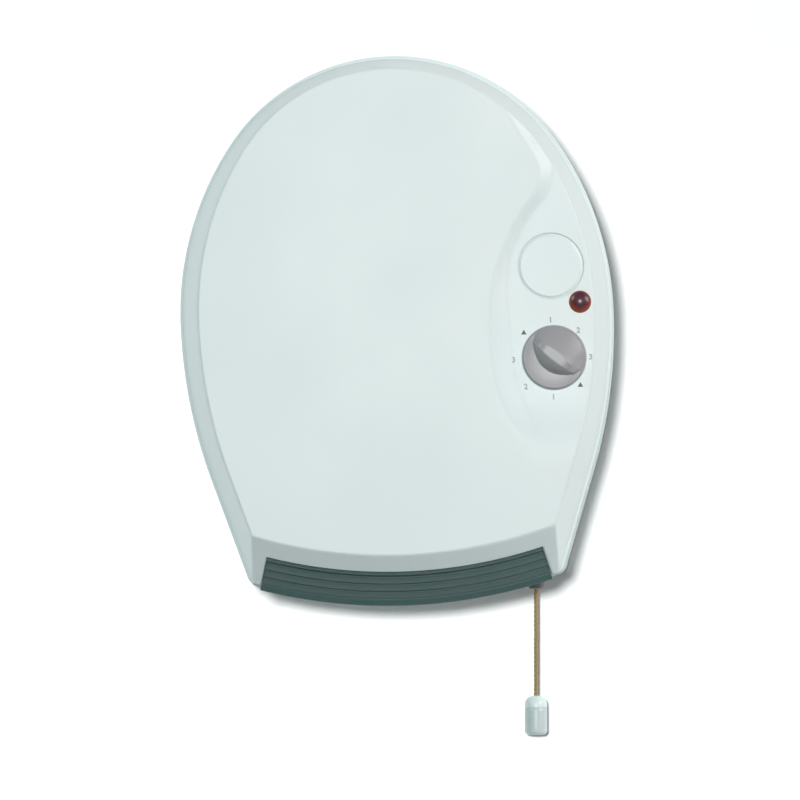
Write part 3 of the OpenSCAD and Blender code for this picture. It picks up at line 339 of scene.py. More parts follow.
def plate(polygon, low, high, edge=0.0):
    """Flat polygon in x and z raised between two depths, its outer edge eased."""
    polygon = np.asarray(polygon, float)
    if edge == 0:
        return through([at_depth(polygon, low), at_depth(polygon, high)])
    middle = polygon.mean(axis=0)
    reach = np.linalg.norm(polygon - middle, axis=1, keepdims=True)
    drawn_in = middle + (polygon - middle) * (1 - edge / reach)
    return through([at_depth(drawn_in, low), at_depth(polygon, low + edge), at_depth(polygon, high - edge),
                    at_depth(drawn_in, high)])


def bottom_sweep(profile, start, end, steps):
    """Profile of radius and depth swept round the centre of the bottom edge, in degrees."""
    radius, depth = np.asarray(profile, float).T
    return through([np.stack([radius * math.sin(a), -depth, BOTTOM_CZ - radius * math.cos(a)], 1)
                    for a in np.radians(np.linspace(start, end, steps + 1))])


def on_slant(radius, sunk):
    """Radius and depth of a place on the slanted outlet plane, or sunk behind it."""
    depth = BEVEL_START + (KNEE_R - radius) * math.tan(SLANT)
    return radius - sunk * math.sin(SLANT), depth - sunk * math.cos(SLANT)


# ---- Meshes and pieces ----

def mesh_object(name, shape):
    mesh = bpy.data.meshes.new(name)
    mesh.from_pydata((shape[0] * MM).tolist(), [], shape[1])
    work = bmesh.new()
    work.from_mesh(mesh)
    bmesh.ops.recalc_face_normals(work, faces=work.faces)
    work.to_mesh(mesh)
    work.free()
    return new_object(name, mesh)


def evaluated_mesh(obj):
    """New mesh of an object as its modifiers or its curves shape it."""
    return bpy.data.meshes.new_from_object(obj.evaluated_get(bpy.context.evaluated_depsgraph_get()))


def combine(obj, shapes, operation="DIFFERENCE"):
    """Cuts shapes out of an object's mesh, or joins them to it, one after the other."""
    for shape in shapes:
        tool = mesh_object("tool", shape)
        step = modify(obj, "BOOLEAN", operation=operation, solver="MANIFOLD", object=tool)
        result = evaluated_mesh(obj)
        if len(result.polygons) == 0:
            step.solver = "EXACT"
            bpy.context.view_layer.update()
            result = evaluated_mesh(obj)
        obj.modifiers.clear()
        obj.data = result
        bpy.data.objects.remove(tool)


def smooth(obj):
    obj.data.polygons.foreach_set("use_smooth", [True] * len(obj.data.polygons))


# Nodes that a piece stands for
REPLACED = set()


def finish_piece(obj, body, slot, node, degrees):
    """Gives a piece its finish, its shading with sharp edges above an angle, its body and its node."""
    obj.data.materials.clear()
    obj.data.materials.append(FINISHES[slot])
    smooth(obj)
    obj.data.set_sharp_from_angle(angle=math.radians(degrees))
    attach(obj, body)
    if node:
        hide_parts(node)
        REPLACED.add(node)
    return obj


def piece(name, shapes, body, slot, node=None, degrees=32):
    return finish_piece(mesh_object(name, merged(shapes)), body, slot, node, degrees)


# ---- Outline of the body ----

def side_arc(crown_cz):
    """Radius and centre of the arc between crown and widest line, and its angle where it meets the crown."""
    radius = (HALF_W ** 2 + crown_cz ** 2 - CROWN_R ** 2) / (2 * CROWN_TUCK)
    return radius, HALF_W - radius, math.degrees(math.atan2(crown_cz, radius - HALF_W))


def foot_centre(side, low, corner):
    """Centre of the rounded corner between a flank and the bottom edge."""
    start = (FLANK_CX, 0) + (FLANK_R - side - corner) * FLANK_OUT
    to = start - (0, BOTTOM_CZ)
    along = to @ FLANK_DOWN
    return start + (math.sqrt(along ** 2 - to @ to + (BOTTOM_R - low - corner) ** 2) - along) * FLANK_DOWN


def half_outline(side, low, corner, lean):
    """Right half of the outline from the top to the bottom, with each point's share of the bottom edge."""
    crown_cz = CROWN_CZ - lean
    side_r, side_cx, join_a = side_arc(crown_cz)
    foot = foot_centre(side, low, corner)
    foot_a = math.degrees(math.atan2(foot[1] - BOTTOM_CZ, foot[0]))
    flank = arc((FLANK_CX, 0), FLANK_R - side, 0, -FLANK_SLOPE, 32)
    corner_start = foot + corner * FLANK_OUT
    upper = [[[0, crown_cz + CROWN_R - side]],
             arc((0, crown_cz), CROWN_R - side, 90, join_a, 96),
             arc((side_cx, 0), side_r - side, join_a, 0, 60),
             flank, flank[-1] + np.linspace(0, 1, 13)[1:, None] * (corner_start - flank[-1])]
    bend = arc(foot, corner, -FLANK_SLOPE, foot_a, 8)
    bottom = arc((0, BOTTOM_CZ), BOTTOM_R - low, foot_a, -90, 40)
    low_share = [np.zeros(sum(len(part) for part in upper)), np.linspace(0, 1, len(bend) + 1)[1:],
                 np.ones(len(bottom))]
    return np.concatenate([*upper, bend, bottom]), np.concatenate(low_share)


def outline(side, low, corner, lean=0.0):
    """Whole outline, clockwise from the top, with the same shares."""
    right, share = half_outline(side, low, corner, lean)
    left = right[-2:0:-1] * (-1, 1)
    return np.concatenate([right, left]), np.concatenate([share, share[-2:0:-1]])


def skirt_inset(depth):
    return LEDGE + SKIRT_DRAFT * (depth - COVER_BACK) / (BEVEL_START - COVER_BACK)


def crown_lean(depth):
    """How far the crown has dropped at a depth: it leans in towards the front."""
    rise = (min(depth, BEVEL_START) - COVER_BACK) / (BEVEL_START - COVER_BACK)
    return CROWN_LEAN * rise * min(1, (BODY_DEPTH - depth) / BEVEL_DEPTH)


# ---- Front cover ----

def shelf_edge():
    """Line along the middle of the step between the front face and the control shelf."""
    edge_x, high_z, low_z = 55.5, 2, -15
    high_r, low_r, hook_r, hook_turn, low_end = 83, 105, 20, math.radians(40), 211.6
    out = np.array([-math.cos(hook_turn), math.sin(hook_turn)])
    bend = np.array([edge_x + high_r, high_z]) + high_r * out
    hook_start = bend + 6 * np.array([math.sin(hook_turn), math.cos(hook_turn)])
    hook = arc(hook_start + hook_r * out, hook_r, 30, -40, 60)
    lead_in = hook[0] + np.linspace(30, 0.5, 30)[:, None] * np.array([-0.5, 0.866])
    low_arc = arc((edge_x + low_r, low_z), low_r, 180, low_end, 60)
    lead_out = low_arc[-1] - np.linspace(0.5, 30, 30)[:, None] * np.array([0, 1])
    stretch = np.linspace(0, 1, 20)[1:-1, None]
    return np.concatenate([lead_in, hook, hook[-1] + stretch * (bend - hook[-1]),
                           arc((edge_x + high_r, high_z), high_r, 140, 180, 80),
                           np.array([edge_x, high_z]) + stretch * (0, low_z - high_z), low_arc, lead_out])


def ramp(t):
    """Straight ramp from 0 to 1 with eased ends."""
    ease = 0.22
    t = np.clip(t, 0, 1)
    rise = np.where(t < ease, t * t / (2 * ease), t - ease / 2)
    rise = np.where(t > 1 - ease, 1 - ease - (1 - t) ** 2 / (2 * ease), rise)
    return rise / (1 - ease)


def shelf_share(places):
    """How far each place in x and z has stepped down from the front face to the shelf, 0 to 1."""
    edge = shelf_edge()
    along = np.gradient(edge, axis=0)
    share = np.zeros(len(places))
    batch = 4000
    for start in range(0, len(places), batch):
        some = places[start:start + batch]
        height = some[:, 1]
        to = some[:, None] - edge[None]
        nearest = np.argmin((to ** 2).sum(axis=2), axis=1)
        to, way = to[np.arange(len(some)), nearest], along[nearest]
        cross = way[:, 0] * to[:, 1] - way[:, 1] * to[:, 0]
        inside = cross / np.linalg.norm(way, axis=1)
        beyond = np.linalg.norm(to, axis=1)
        inside = np.where(np.abs(inside) < 0.5 * beyond, np.sign(inside) * beyond, inside)
        wider_above, wider_below = 3.5 * eased((height - 55) / 25), 9 * eased((36 - height) / 50)
        share[start:start + batch] = ramp(inside / (5.5 + wider_above + wider_below) + 0.5)
    foot, fade = -84, 42
    return share * eased((places[:, 1] - foot) / fade)


def face_depth(places):
    """Depth of the front face or the control shelf at places in x and z."""
    return BODY_DEPTH - SHELF_DROP * shelf_share(places)


def cover_row(side, low, depth, past_bevel=None):
    """One ring of the cover's skin. From the end of the bevel on, the bevel is drawn out by past_bevel and
    held down to the face."""
    corner = max(FACE_CORNER_R, FOOT_CORNER_R - side)
    places, low_share = outline(side, low, corner, crown_lean(min(depth, BODY_DEPTH)))
    if past_bevel is None:
        return at_depth(places, depth)
    side_rise = BEVEL_DEPTH / (FACE_INSET - KNEE_INSET - RIM_W)
    depths = depth + past_bevel * (side_rise + (LOW_RISE - side_rise) * low_share)
    side_soft, low_soft = 3.4, 1.2
    soft = side_soft + (low_soft - side_soft) * low_share
    face = face_depth(places)
    blend = np.clip(0.5 + (depths - face) / (2 * soft), 0, 1)
    return at_depth(places, depths + (face - depths) * blend - soft * blend * (1 - blend))


def cover_skin():
    """Rings from the middle of the inside, round the back edge, to the middle of the face."""
    rings = []
    for q in (56, 40, 28, 20, 14, 9, 5, 2):
        places, _ = outline(FACE_INSET + q, FACE_RISE + q, FACE_CORNER_R)
        rings.append(at_depth(places, face_depth(places) - WALL))
    for t in (0.88, 0.6, 0.3, 0):
        side = KNEE_INSET + (FACE_INSET - KNEE_INSET) * t + WALL
        low = KNEE_INSET + (FACE_RISE - KNEE_INSET) * t + WALL * (1 + 0.3 * t)
        rings.append(cover_row(side, low, BEVEL_START + BEVEL_DEPTH * t))
    for depth in np.linspace(BEVEL_START - 3, COVER_BACK, 6):
        rings.append(cover_row(skirt_inset(depth) + WALL, skirt_inset(depth) + WALL, depth))
    edge = 0.4
    for a in np.linspace(0, math.pi / 2, 5):
        side = LEDGE + edge * (1 - math.sin(a))
        rings.append(cover_row(side, side, COVER_BACK + edge * (1 - math.cos(a))))
    for depth in np.linspace(COVER_BACK + 3, BEVEL_START - 3, 12):
        rings.append(cover_row(skirt_inset(depth), skirt_inset(depth), depth))
    knee = [(0, -1), (0.03, -0.6), (0.12, -0.3), (0.28, -0.1), (0.5, 0), (0.9, 0.05), (RIM_W - 0.25, 0.1),
            (RIM_W - 0.1, 0.16), (RIM_W, 0.35), (RIM_W + 0.12, 0.7)]
    for extra, past in knee:
        depth = BEVEL_START + past
        low = skirt_inset(depth) if past < 0 else KNEE_INSET + past / LOW_RISE
        rings.append(cover_row(KNEE_INSET + extra, low + extra * 0.02, depth))
    for t in np.concatenate([np.linspace(0.08, 0.8, 12), np.linspace(0.82, 1, 12)]):
        side = KNEE_INSET + RIM_W + (FACE_INSET - KNEE_INSET - RIM_W) * t
        low = KNEE_INSET + (FACE_RISE - KNEE_INSET) * t
        rings.append(cover_row(side, low, BEVEL_START + BEVEL_DEPTH * t, 0 if t >= 0.8 else None))
    for q in np.concatenate([np.linspace(0.2, 1.6, 8), np.linspace(2, 4, 5), np.arange(4.8, 56.1, 0.8)]):
        rings.append(cover_row(FACE_INSET + q, FACE_RISE + q, BODY_DEPTH, q))
    return through(rings)


def slot_places():
    """Place and direction of each intake slot of the right side, from the widest line up, and how much of
    the crown's lean it follows."""
    side_r, side_cx, join_a = side_arc(CROWN_CZ)
    join = math.radians(join_a)
    places = []
    for i in range(SLOT_COUNT):
        run = (i + 0.5) * SLOT_PITCH
        a = run / side_r
        cx, cz, radius = side_cx, 0, side_r
        if a >= join:
            a = join + (run - side_r * join) / CROWN_R
            cx, cz, radius = 0, CROWN_CZ, CROWN_R
        leaning = math.sin(a) * min(1, a / join)
        places.append((cx + radius * math.cos(a), cz + radius * math.sin(a), math.degrees(a), leaning))
    return places


def intake_slots():
    """Round-ended slots through the skirt, their outer edges eased."""
    half, ease = SLOT_W / 2, 0.4
    inner = KNEE_INSET + WALL + CROWN_LEAN + 2
    low, high = SLOT_DEPTHS[0] + half, SLOT_DEPTHS[1] - half
    flat = np.array(bow((high, 0), (half, half), -90, 90, 13) + bow((low, 0), (half, half), 90, 270, 13))
    way = (flat - np.clip(flat, (low, 0), (high, 0))) / half
    cuts = []
    for x, z, a, leaning in slot_places():
        rings = []
        for grow, out in ((0, None), (0, -ease), (ease + 1.5, 1.5)):
            at = flat + way * grow
            radial = [-inner if out is None else out - skirt_inset(depth) - leaning * crown_lean(depth)
                      for depth in at[:, 0]]
            rings.append(np.stack([radial, -at[:, 0], at[:, 1]], 1))
        cut = moved(turned(through(rings), -a), (x, 0, z))
        cuts += [cut, mirrored(cut)]
    return merged(cuts)


def shelf_holes():
    """Holes for the blanking cap, the lamp, the spindle and the switch's two screws."""
    deep, over, seat = SHELF_BACK - 1, BODY_DEPTH + 1, SHELF_DEPTH - 1.2
    lamp_r, spindle_r, screw_r, head_r = LAMP_R - 1, 3.4, 1.55, 3.15
    cap = lathe([(CAP_R, deep), (CAP_R, SHELF_DEPTH - 0.5), (CAP_R + 0.5, SHELF_DEPTH),
                 (CAP_R + 1.5, SHELF_DEPTH + 1)], 160)
    lamp = lathe([(lamp_r, deep), (lamp_r, over)], 64)
    spindle = lathe([(spindle_r, deep), (spindle_r, over)], 48)
    screw = lathe([(screw_r, deep), (screw_r, seat), (head_r, seat), (head_r, over)], 40)
    screws = [outward(screw, KNOB_X + across, KNOB_Z) for across in (-SWITCH_SCREW_X, SWITCH_SCREW_X)]
    return merged([outward(cap, CAP_X, CAP_Z), outward(lamp, LAMP_X, LAMP_Z),
                   outward(spindle, KNOB_X, KNOB_Z), *screws])


def outlet_cut():
    inside, outside = WALL + 6, 8
    profile = [on_slant(LIP_R, -outside), on_slant(LIP_R, inside), (KNEE_R - inside, GRILLE_SEAT),
               (BOTTOM_R + outside, GRILLE_SEAT), (BOTTOM_R + outside, BODY_DEPTH + outside)]
    return bottom_sweep(profile, -GRILLE_ANGLE, GRILLE_ANGLE, 120)


def outlet_edge_cuts():
    """Eased edge round the outlet: one cut along the lip and one down each foot."""
    ease, over = 0.95, 0.1
    lip = [on_slant(LIP_R + along, sunk) for along, sunk in ((-ease, 0), (0, ease), (ease, 0), (0, -ease))]
    rings = []
    for radius in (LIP_R - 0.5, KNEE_R + 6):
        corners = ((0, ease), (ease, 0), (0, -ease), (-ease, 0))
        slant = [(across, *on_slant(radius, sunk)) for across, sunk in corners]
        rings.append([(across, -depth, -reach) for across, reach, depth in slant])
    foot = moved(turned(through(rings), -GRILLE_ANGLE), (0, 0, BOTTOM_CZ))
    return [bottom_sweep(lip, -GRILLE_ANGLE - over, GRILLE_ANGLE + over, 120), foot, mirrored(foot)]


def screw_seat_z():
    """Height of the cover screws' seats."""
    return 4 + BOTTOM_CZ - math.sqrt((BOTTOM_R - skirt_inset(SCREW_DEPTH)) ** 2 - SCREW_X ** 2)


def inside_bosses():
    """Screw bosses at the bottom and catches at the top, standing out of the inner wall."""
    rooted = LEDGE + WALL / 2 + 0.3
    foot = circle(6.5, 0, 48) + (SCREW_X, -SCREW_DEPTH, 0)
    top = foot + (0, 0, screw_seat_z() + 5)
    foot[:, 2] = BOTTOM_CZ - np.sqrt((BOTTOM_R - rooted) ** 2 - foot[:, 0] ** 2)
    boss = through([foot, top])
    back, front = CATCH_DEPTHS
    outer_x = CATCH_X[1] - 1
    low_z = CROWN_CZ + math.sqrt((CROWN_R - KNEE_INSET - WALL) ** 2 - outer_x ** 2) - CATCH_LAP
    rows = []
    for x in np.linspace(*CATCH_X, 6):
        high_z = CROWN_CZ + math.sqrt((CROWN_R - rooted) ** 2 - x * x)
        rows.append([(x, -back, low_z), (x, -front, low_z), (x, -front, high_z), (x, -back, high_z)])
    catch = through(rows)
    return merged([boss, mirrored(boss), catch, mirrored(catch)])


def screw_holes():
    """Through holes of the cover's two screws, with wider ones for their heads."""
    seat, head_r, hole_r = screw_seat_z(), 4.2, 2.05
    hole = lathe([(head_r, seat - 7), (head_r, seat), (hole_r, seat), (hole_r, seat + 6)], 48)
    hole = moved(hole, (SCREW_X, -SCREW_DEPTH, 0))
    return merged([hole, mirrored(hole)])


def front_cover():
    cover = mesh_object("front_cover_shell", cover_skin())
    combine(cover, [inside_bosses()], "UNION")
    combine(cover, [intake_slots(), shelf_holes(), outlet_cut(), *outlet_edge_cuts(), screw_holes()])
    return finish_piece(cover, "root", "cover_plastic", "front_cover", 30)


# ---- Outlet grille ----

def grille_band(radius, width, sunk, length, ease):
    """Profile of a slat or rail, standing along the air's way, its front corners eased."""
    return rounded([on_slant(radius, sunk), on_slant(radius + width, sunk),
                    on_slant(radius + width, sunk + length), on_slant(radius, sunk + length)],
                   [ease, ease, 0.05, 0.05])


def outlet_grille():
    """Three curved slats between a rail and a sill, tied by a rib at each end and five behind them."""
    top, end_a, slat, rail = LIP_R + 0.15, GRILLE_ANGLE - 0.05, 3.5, 1.4
    back, low, rib_w = GRILLE_SEAT + 0.15, KNEE_R - WALL - 1.5, KNEE_R - top - 1
    shapes = [bottom_sweep(grille_band(top, rail, 0.3, 6, 0.3), -end_a, end_a, 100)]
    for middle in np.linspace(top + 0.3, KNEE_R + 1.6, 5)[1:-1]:
        band = grille_band(middle - slat / 2, slat, 0.4, 5, 0.8)
        shapes.append(bottom_sweep(band, -end_a + 0.02, end_a - 0.02, 100))
    sill = rounded([on_slant(KNEE_R - 0.5, 0.3), (BOTTOM_R + 0.6, BEVEL_START - 1.5), (BOTTOM_R + 0.6, back),
                    (low, back), (low, BEVEL_START - 1)], [0.5, 0.4, 0.2, 0.05, 0.05])
    shapes.append(bottom_sweep(sill, -end_a, end_a, 100))
    end_rib = grille_band(top + 0.4, rib_w, 1.2, 4.9, 0.3)
    for a in (0.4 - end_a, end_a - 0.4):
        shapes.append(bottom_sweep(end_rib, a - 0.35, a + 0.35, 2))
    rib = grille_band(top + 0.4, rib_w, 2.6, 3.7, 0.3)
    for a in (-10, -5, 0, 5, 10):
        shapes.append(bottom_sweep(rib, a - 0.14, a + 0.14, 2))
    return piece("grille_slats", shapes, "root", "grille_plastic", "outlet_grille", 35)


# ---- Controls ----

def knob_height(across, along):
    """Height over the shelf of the knob's top: a flat crest across it, with a hollowed wall down to a dish on
    one side and a straight fall to the rim on the other."""
    crest_height, dish_height, crest_reach, dish_r, rim_r = 14, 5.9, 14.2, 16, 16.2
    dip = 0.2 + 0.6 * eased(0.5 - across / 9)
    dish = dish_height - dip * (1 - np.clip(np.hypot(across, along) / dish_r, 0, 1) ** 3.5)
    lens = np.clip(1 - (along / crest_reach) ** 2, 0, 1) + 0.02
    ends = np.clip(np.abs(along) / (crest_reach + 1.1 * eased(across / 4)), 0, 1)
    foot, shoulder, crest = -7.6 * lens, -1.4 * lens, 3.2 * lens
    rim = np.sqrt(np.clip(rim_r ** 2 - along ** 2, 1, None))
    rolled = np.clip((across - foot) / (shoulder - foot), 0, 1)
    fallen = np.clip((across - crest) / np.maximum(rim - crest, 1), 0, 1)
    fallen = np.clip(np.sqrt(fallen ** 2 + 0.002) - 0.045, 0, 1)
    share = (1 - (1 - rolled) ** 1.9) * (1 - fallen) ** 1.08
    return dish + (crest_height - dish) * (1 - ends ** 6) * share


def control_knob():
    """Round knob with a rim, a flat crest across its top and a dish beside it."""
    steps, turn = 256, math.radians(-40)
    along_way = np.array([math.cos(turn), math.sin(turn)])
    across_way = np.array([-along_way[1], along_way[0]])
    back = -span("control_knob")[1][1]
    bore_r, bore_end, hub_r, skirt_r, floor = 3.05, 121.3, 5.5, 15.5, back + 2.2
    under = [(bore_r, bore_end), (bore_r, back), (hub_r, back), (hub_r, floor), (skirt_r - 0.1, floor),
             (skirt_r + 0.1, back)]
    rim = [(KNOB_R - inset, back + rise) for inset, rise in
           ((0.2, 0), (0, 0.25), (0.05, 1.2), (0.4, 4.2), (0.6, 4.85), (0.9, 5.2), (1.25, 5.36))]
    rings = [circle(radius, depth, steps) for radius, depth in under + rim]
    for radius in [KNOB_R - 1.5, *np.linspace(KNOB_R - 1.8, 0.25, 66)]:
        ring = circle(radius, SHELF_DEPTH, steps)
        ring[:, 2] += knob_height(ring[:, :2] @ across_way, ring[:, :2] @ along_way)
        rings.append(ring)
    shape = outward(through(rings), KNOB_X, KNOB_Z)
    return piece("knob_grip", [shape], "knob", "knob_plastic", "control_knob", 50)


def blanking_cap():
    """Flush disc with an eased edge and three clips behind it."""
    radius = CAP_R - 0.02
    edge = [(radius - inset, SHELF_DEPTH - sunk) for inset, sunk in
            ((0, WALL), (0, 0.62), (0.45, 0.58), (0.8, 0.42), (1.25, 0.1), (1.5, 0), (1.8, 0))]
    shapes = [outward(lathe(edge + [(9, SHELF_DEPTH), (2, SHELF_DEPTH)], 160), CAP_X, CAP_Z)]
    inner, leg_r, barb_r, half = 13.5, 15, 18.5, 3
    leg = rounded([(inner, -half), (leg_r, -half), (leg_r, half), (inner, half)], 0.3)
    barb = rounded([(inner, -half), (barb_r, -half), (barb_r, half), (inner, half)], 0.3)
    clip = merged([plate(leg, SHELF_BACK - 5, SHELF_BACK + 0.5),
                   plate(barb, SHELF_BACK - 2.2, SHELF_BACK - 0.3, 0.2)])
    shapes += [moved(turned(clip, a), (CAP_X, 0, CAP_Z)) for a in (30, 150, 270)]
    return piece("blanking_disc", shapes, "root", "cover_plastic", "blanking_cap")


def lamp_lens():
    """Domed lens with a thin rim, its neck reaching through the cover."""
    rim_h, dome_h, neck_r = 0.8, 3.4, LAMP_R - 1.15
    neck = [(neck_r, SHELF_BACK - 2), (neck_r, SHELF_DEPTH + 0.02)]
    rim = [(LAMP_R - 0.15, SHELF_DEPTH + 0.02), (LAMP_R, SHELF_DEPTH + 0.18)]
    dome = bow((0, SHELF_DEPTH + rim_h), (LAMP_R, dome_h), 0, 87, 22)
    shape = outward(lathe(neck + rim + dome), LAMP_X, LAMP_Z)
    return piece("lamp_dome", [shape], "root", "lamp_lens", "lamp_lens", 40)


def legend_mark(text, size):
    """Flat outline of a figure around its own middle, as points and faces."""
    data = set_all(bpy.data.curves.new("mark", "FONT"), body=text, size=size, offset=0.11, resolution_u=6)
    obj = new_object("mark", data)
    mesh = evaluated_mesh(obj)
    points = np.array([v.co[:2] for v in mesh.vertices])
    faces = [tuple(face.vertices) for face in mesh.polygons]
    bpy.data.objects.remove(obj)
    return points - (points.min(axis=0) + points.max(axis=0)) / 2, faces


def printed(mark, x, z):
    """Thin raised print of a flat figure on the control shelf."""
    points, faces = mark[0] + (x, z), mark[1]
    count = len(points)
    uses = {}
    for face in faces:
        for edge in zip(face, face[1:] + face[:1]):
            key = tuple(sorted(edge))
            uses[key] = None if key in uses else edge
    surface = face_depth(points)
    sunk, raised = 0.02, 0.03
    layers = [at_depth(points, surface - sunk), at_depth(points, surface + raised)]
    shell = [face[::-1] for face in faces] + [tuple(i + count for i in face) for face in faces]
    shell += [(a, b, b + count, a + count) for a, b in filter(None, uses.values())]
    return np.concatenate(layers), shell


def dial_legend():
    """Settings printed round the knob: two rounds of figures, each after a small triangle."""
    middle_x, middle_z, radius, size = KNOB_X - 1.1, KNOB_Z - 0.3, 20.6, 4.1
    triangle = (np.array([(-1.5, -1.3), (1.5, -1.3), (0, 1.3)]), [(0, 1, 2)])
    marks = {90: "1", 45: "2", 0: "3", -45: None, -90: "1", -135: "2", 180: "3", 135: None}
    figures, pointers = [], []
    for a, text in marks.items():
        x = middle_x + radius * math.cos(math.radians(a))
        z = middle_z + radius * math.sin(math.radians(a))
        if text:
            figures.append(printed(legend_mark(text, size), x, z))
        else:
            pointers.append(printed(triangle, x, z))
    piece("dial_figures", figures, "root", "grey_print")
    piece("dial_pointers", pointers, "root", "dark_print")


# ---- Pull cord ----

def pull_cord():
    """Cord of three twisted strands hanging from the bush to the toggle."""
    route = np.array(CORD_ROUTE, float)
    run = np.concatenate([[0], np.cumsum(np.linalg.norm(np.diff(route, axis=0), axis=1))])
    stations = np.linspace(0, run[-1], 140)
    line = np.stack([np.interp(stations, run, route[:, k]) for k in range(3)], 1)
    way = np.gradient(line, axis=0)
    way /= np.linalg.norm(way, axis=1, keepdims=True)
    u = np.cross(np.array([0, 1.0, 0]), way)
    u /= np.linalg.norm(u, axis=1, keepdims=True)
    v = np.cross(way, u)
    strand_r, pitch = CORD_D * 0.27, 7.5
    offset = CORD_D / 2 - strand_r
    shapes = []
    for strand in range(3):
        twist = 2 * np.pi * (stations / pitch + strand / 3)
        centres = line + offset * (np.cos(twist)[:, None] * u + np.sin(twist)[:, None] * v)
        shapes.append(through([hoop(centres[i], u[i], v[i], strand_r, 12) for i in range(len(line))]))
    return piece("cord_strands", shapes, "cord", "cord", "pull_cord", 60)


def pull_toggle():
    """Toggle with a domed cap on a slightly drawn-in body, and a hole for the cord at its top."""
    top = np.array(CORD_ROUTE[-1], float) + (0, 0, TOGGLE_GRIP)
    hole, flat_r, cap_h, edge_r = CORD_D / 2 + 0.35, 1.6, 5, 2.6
    mouth = [(0.3, -6), (hole, -6), (hole, -0.35), (hole + 0.3, -0.02), (hole + 0.9, -0.12)]
    cap = bow((flat_r, -cap_h), (TOGGLE_R - flat_r, cap_h - 0.03), 66, 0, 14)
    seam = [(TOGGLE_R - inset, -TOGGLE_SEAM - below) for inset, below in
            ((0, 0), (0.12, 0.12), (0.3, 0.2), (0.3, 0.45), (0.1, 0.7), (0.04, 2))]
    edge = bow((TOGGLE_R - edge_r, 2.2 - TOGGLE_LEN), (edge_r - 0.02, 2.2), 0, -90, 11)
    end = [(2.2, -TOGGLE_LEN), (2, 0.3 - TOGGLE_LEN), (0.3, 0.3 - TOGGLE_LEN)]
    profile = mouth + cap + seam + [(TOGGLE_R - 0.02, 5 - TOGGLE_LEN)] + edge + end
    shape = moved(turned(lathe(profile), CORD_LEAN), top)
    return piece("toggle_bell", [shape], "cord", "toggle_plastic", "pull_toggle", 40)


def cord_bush():
    """Bush whose collar tapers towards the cord under the housing, dark so that it passes for the shade
    there: painted shade.
    """
    low, high = span("cord_bush")
    middle = (low + high) / 2
    bore, body, under = CORD_D / 2 + 0.45, 4.95, low[2] + 3.5
    profile = [(bore, high[2]), (body, high[2]), (body, under), (body - 0.5, under - 0.5), (4.2, under - 1.6),
               (3.9, low[2] + 0.4), (3.6, low[2]), (bore + 1.2, low[2]), (bore, low[2] + 1.6)]
    shape = moved(lathe(profile, 72, True), middle * (1, 1, 0))
    # Dark plastic as painted shade: the collar stands in for the shadow under the housing.
    return piece("bush_collar", [shape], "root", "dark_plastic", "cord_bush", 40)


def plunger_spring():
    """Spring that the plunger presses together when the cord is pulled."""
    low, high = span("plunger_spring")
    wire, turns, travel = 0.4, 5, 8
    foot = (low + high) / 2 * (1, 1, 0) + low * (0, 0, 1)
    height, coil = high[2] - low[2], (high[0] - low[0]) / 2 - wire
    rings = []
    for t in np.linspace(0, 1, 40 * turns + 1):
        out = np.array([math.cos(2 * math.pi * turns * t), math.sin(2 * math.pi * turns * t), 0])
        centre = foot + (0, 0, wire + (height - 2 * wire) * t) + coil * out
        rings.append(hoop(centre, out, (0, 0, 1), wire, 10))
    spring = piece("spring_coil", [through(rings)], "root", "zinc_steel", "plunger_spring", 60)
    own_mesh(spring)
    return spring


# ---- Shader building ----

class Recipe:
    """Node tree of a finish or a shared effect, with short ways to add what repeats in it."""

    def __init__(self, tree):
        self.tree = tree

    def feed(self, node, inputs):
        """Sets or links a node's inputs, where a colour is three numbers or a link: its outputs."""
        for name, value in inputs.items():
            socket = node.inputs[name]
            if isinstance(value, bpy.types.NodeSocket):
                self.tree.links.new(value, socket)
            else:
                socket.default_value = (*value, 1) if socket.type == "RGBA" else value
        return node.outputs

    def add(self, kind, inputs=None, **settings):
        """Node of a kind with its settings and inputs: its outputs."""
        node = set_all(self.tree.nodes.new("ShaderNode" + kind), **settings)
        return self.feed(node, inputs or {})

    def use(self, effect, **inputs):
        """Shared effect with its own values: its outputs."""
        node = self.tree.nodes.new("ShaderNodeGroup")
        node.node_tree = effect
        return self.feed(node, inputs)

    def maths(self, operation, a, b=0):
        return self.add("Math", {0: a, 1: b}, operation=operation)[0]

    def plus(self, a, b):
        return self.maths("ADD", a, b)

    def times(self, a, b):
        return self.maths("MULTIPLY", a, b)

    def centred(self, value):
        return self.maths("SUBTRACT", value, 0.5)

    def ranged(self, value, low, high, to_low=0, to_high=1):
        return self.add("MapRange", {"Value": value, "From Min": low, "From Max": high, "To Min": to_low,
                                     "To Max": to_high})[0]

    def scaled(self, colour, factor):
        return self.add("VectorMath", {0: colour, "Scale": factor}, operation="SCALE")["Vector"]

    def mixed(self, factor, a, b):
        """Colour between two colours."""
        return self.add("Mix", {0: factor, 6: a, 7: b}, data_type="RGBA")[2]

    def places(self):
        """Coordinates in the frame, in metres."""
        return self.add("TexCoord")["Object"]

    def part(self, vector, axis):
        return self.add("SeparateXYZ", {0: vector})[axis]

    def facing(self, axis):
        """How much the surface faces along an axis."""
        return self.part(self.add("NewGeometry")["Normal"], axis)

    def noise(self, scale, detail=2, coords=None):
        coords = self.places() if coords is None else coords
        return self.add("TexNoise", {"Vector": coords, "Scale": scale, "Detail": detail})["Fac"]

    def cloudy(self, scale, detail, low, high):
        """Value that wanders between two values in soft patches."""
        return self.ranged(self.noise(scale, detail), 0.3, 0.7, low, high)


# ---- Shared effects ----

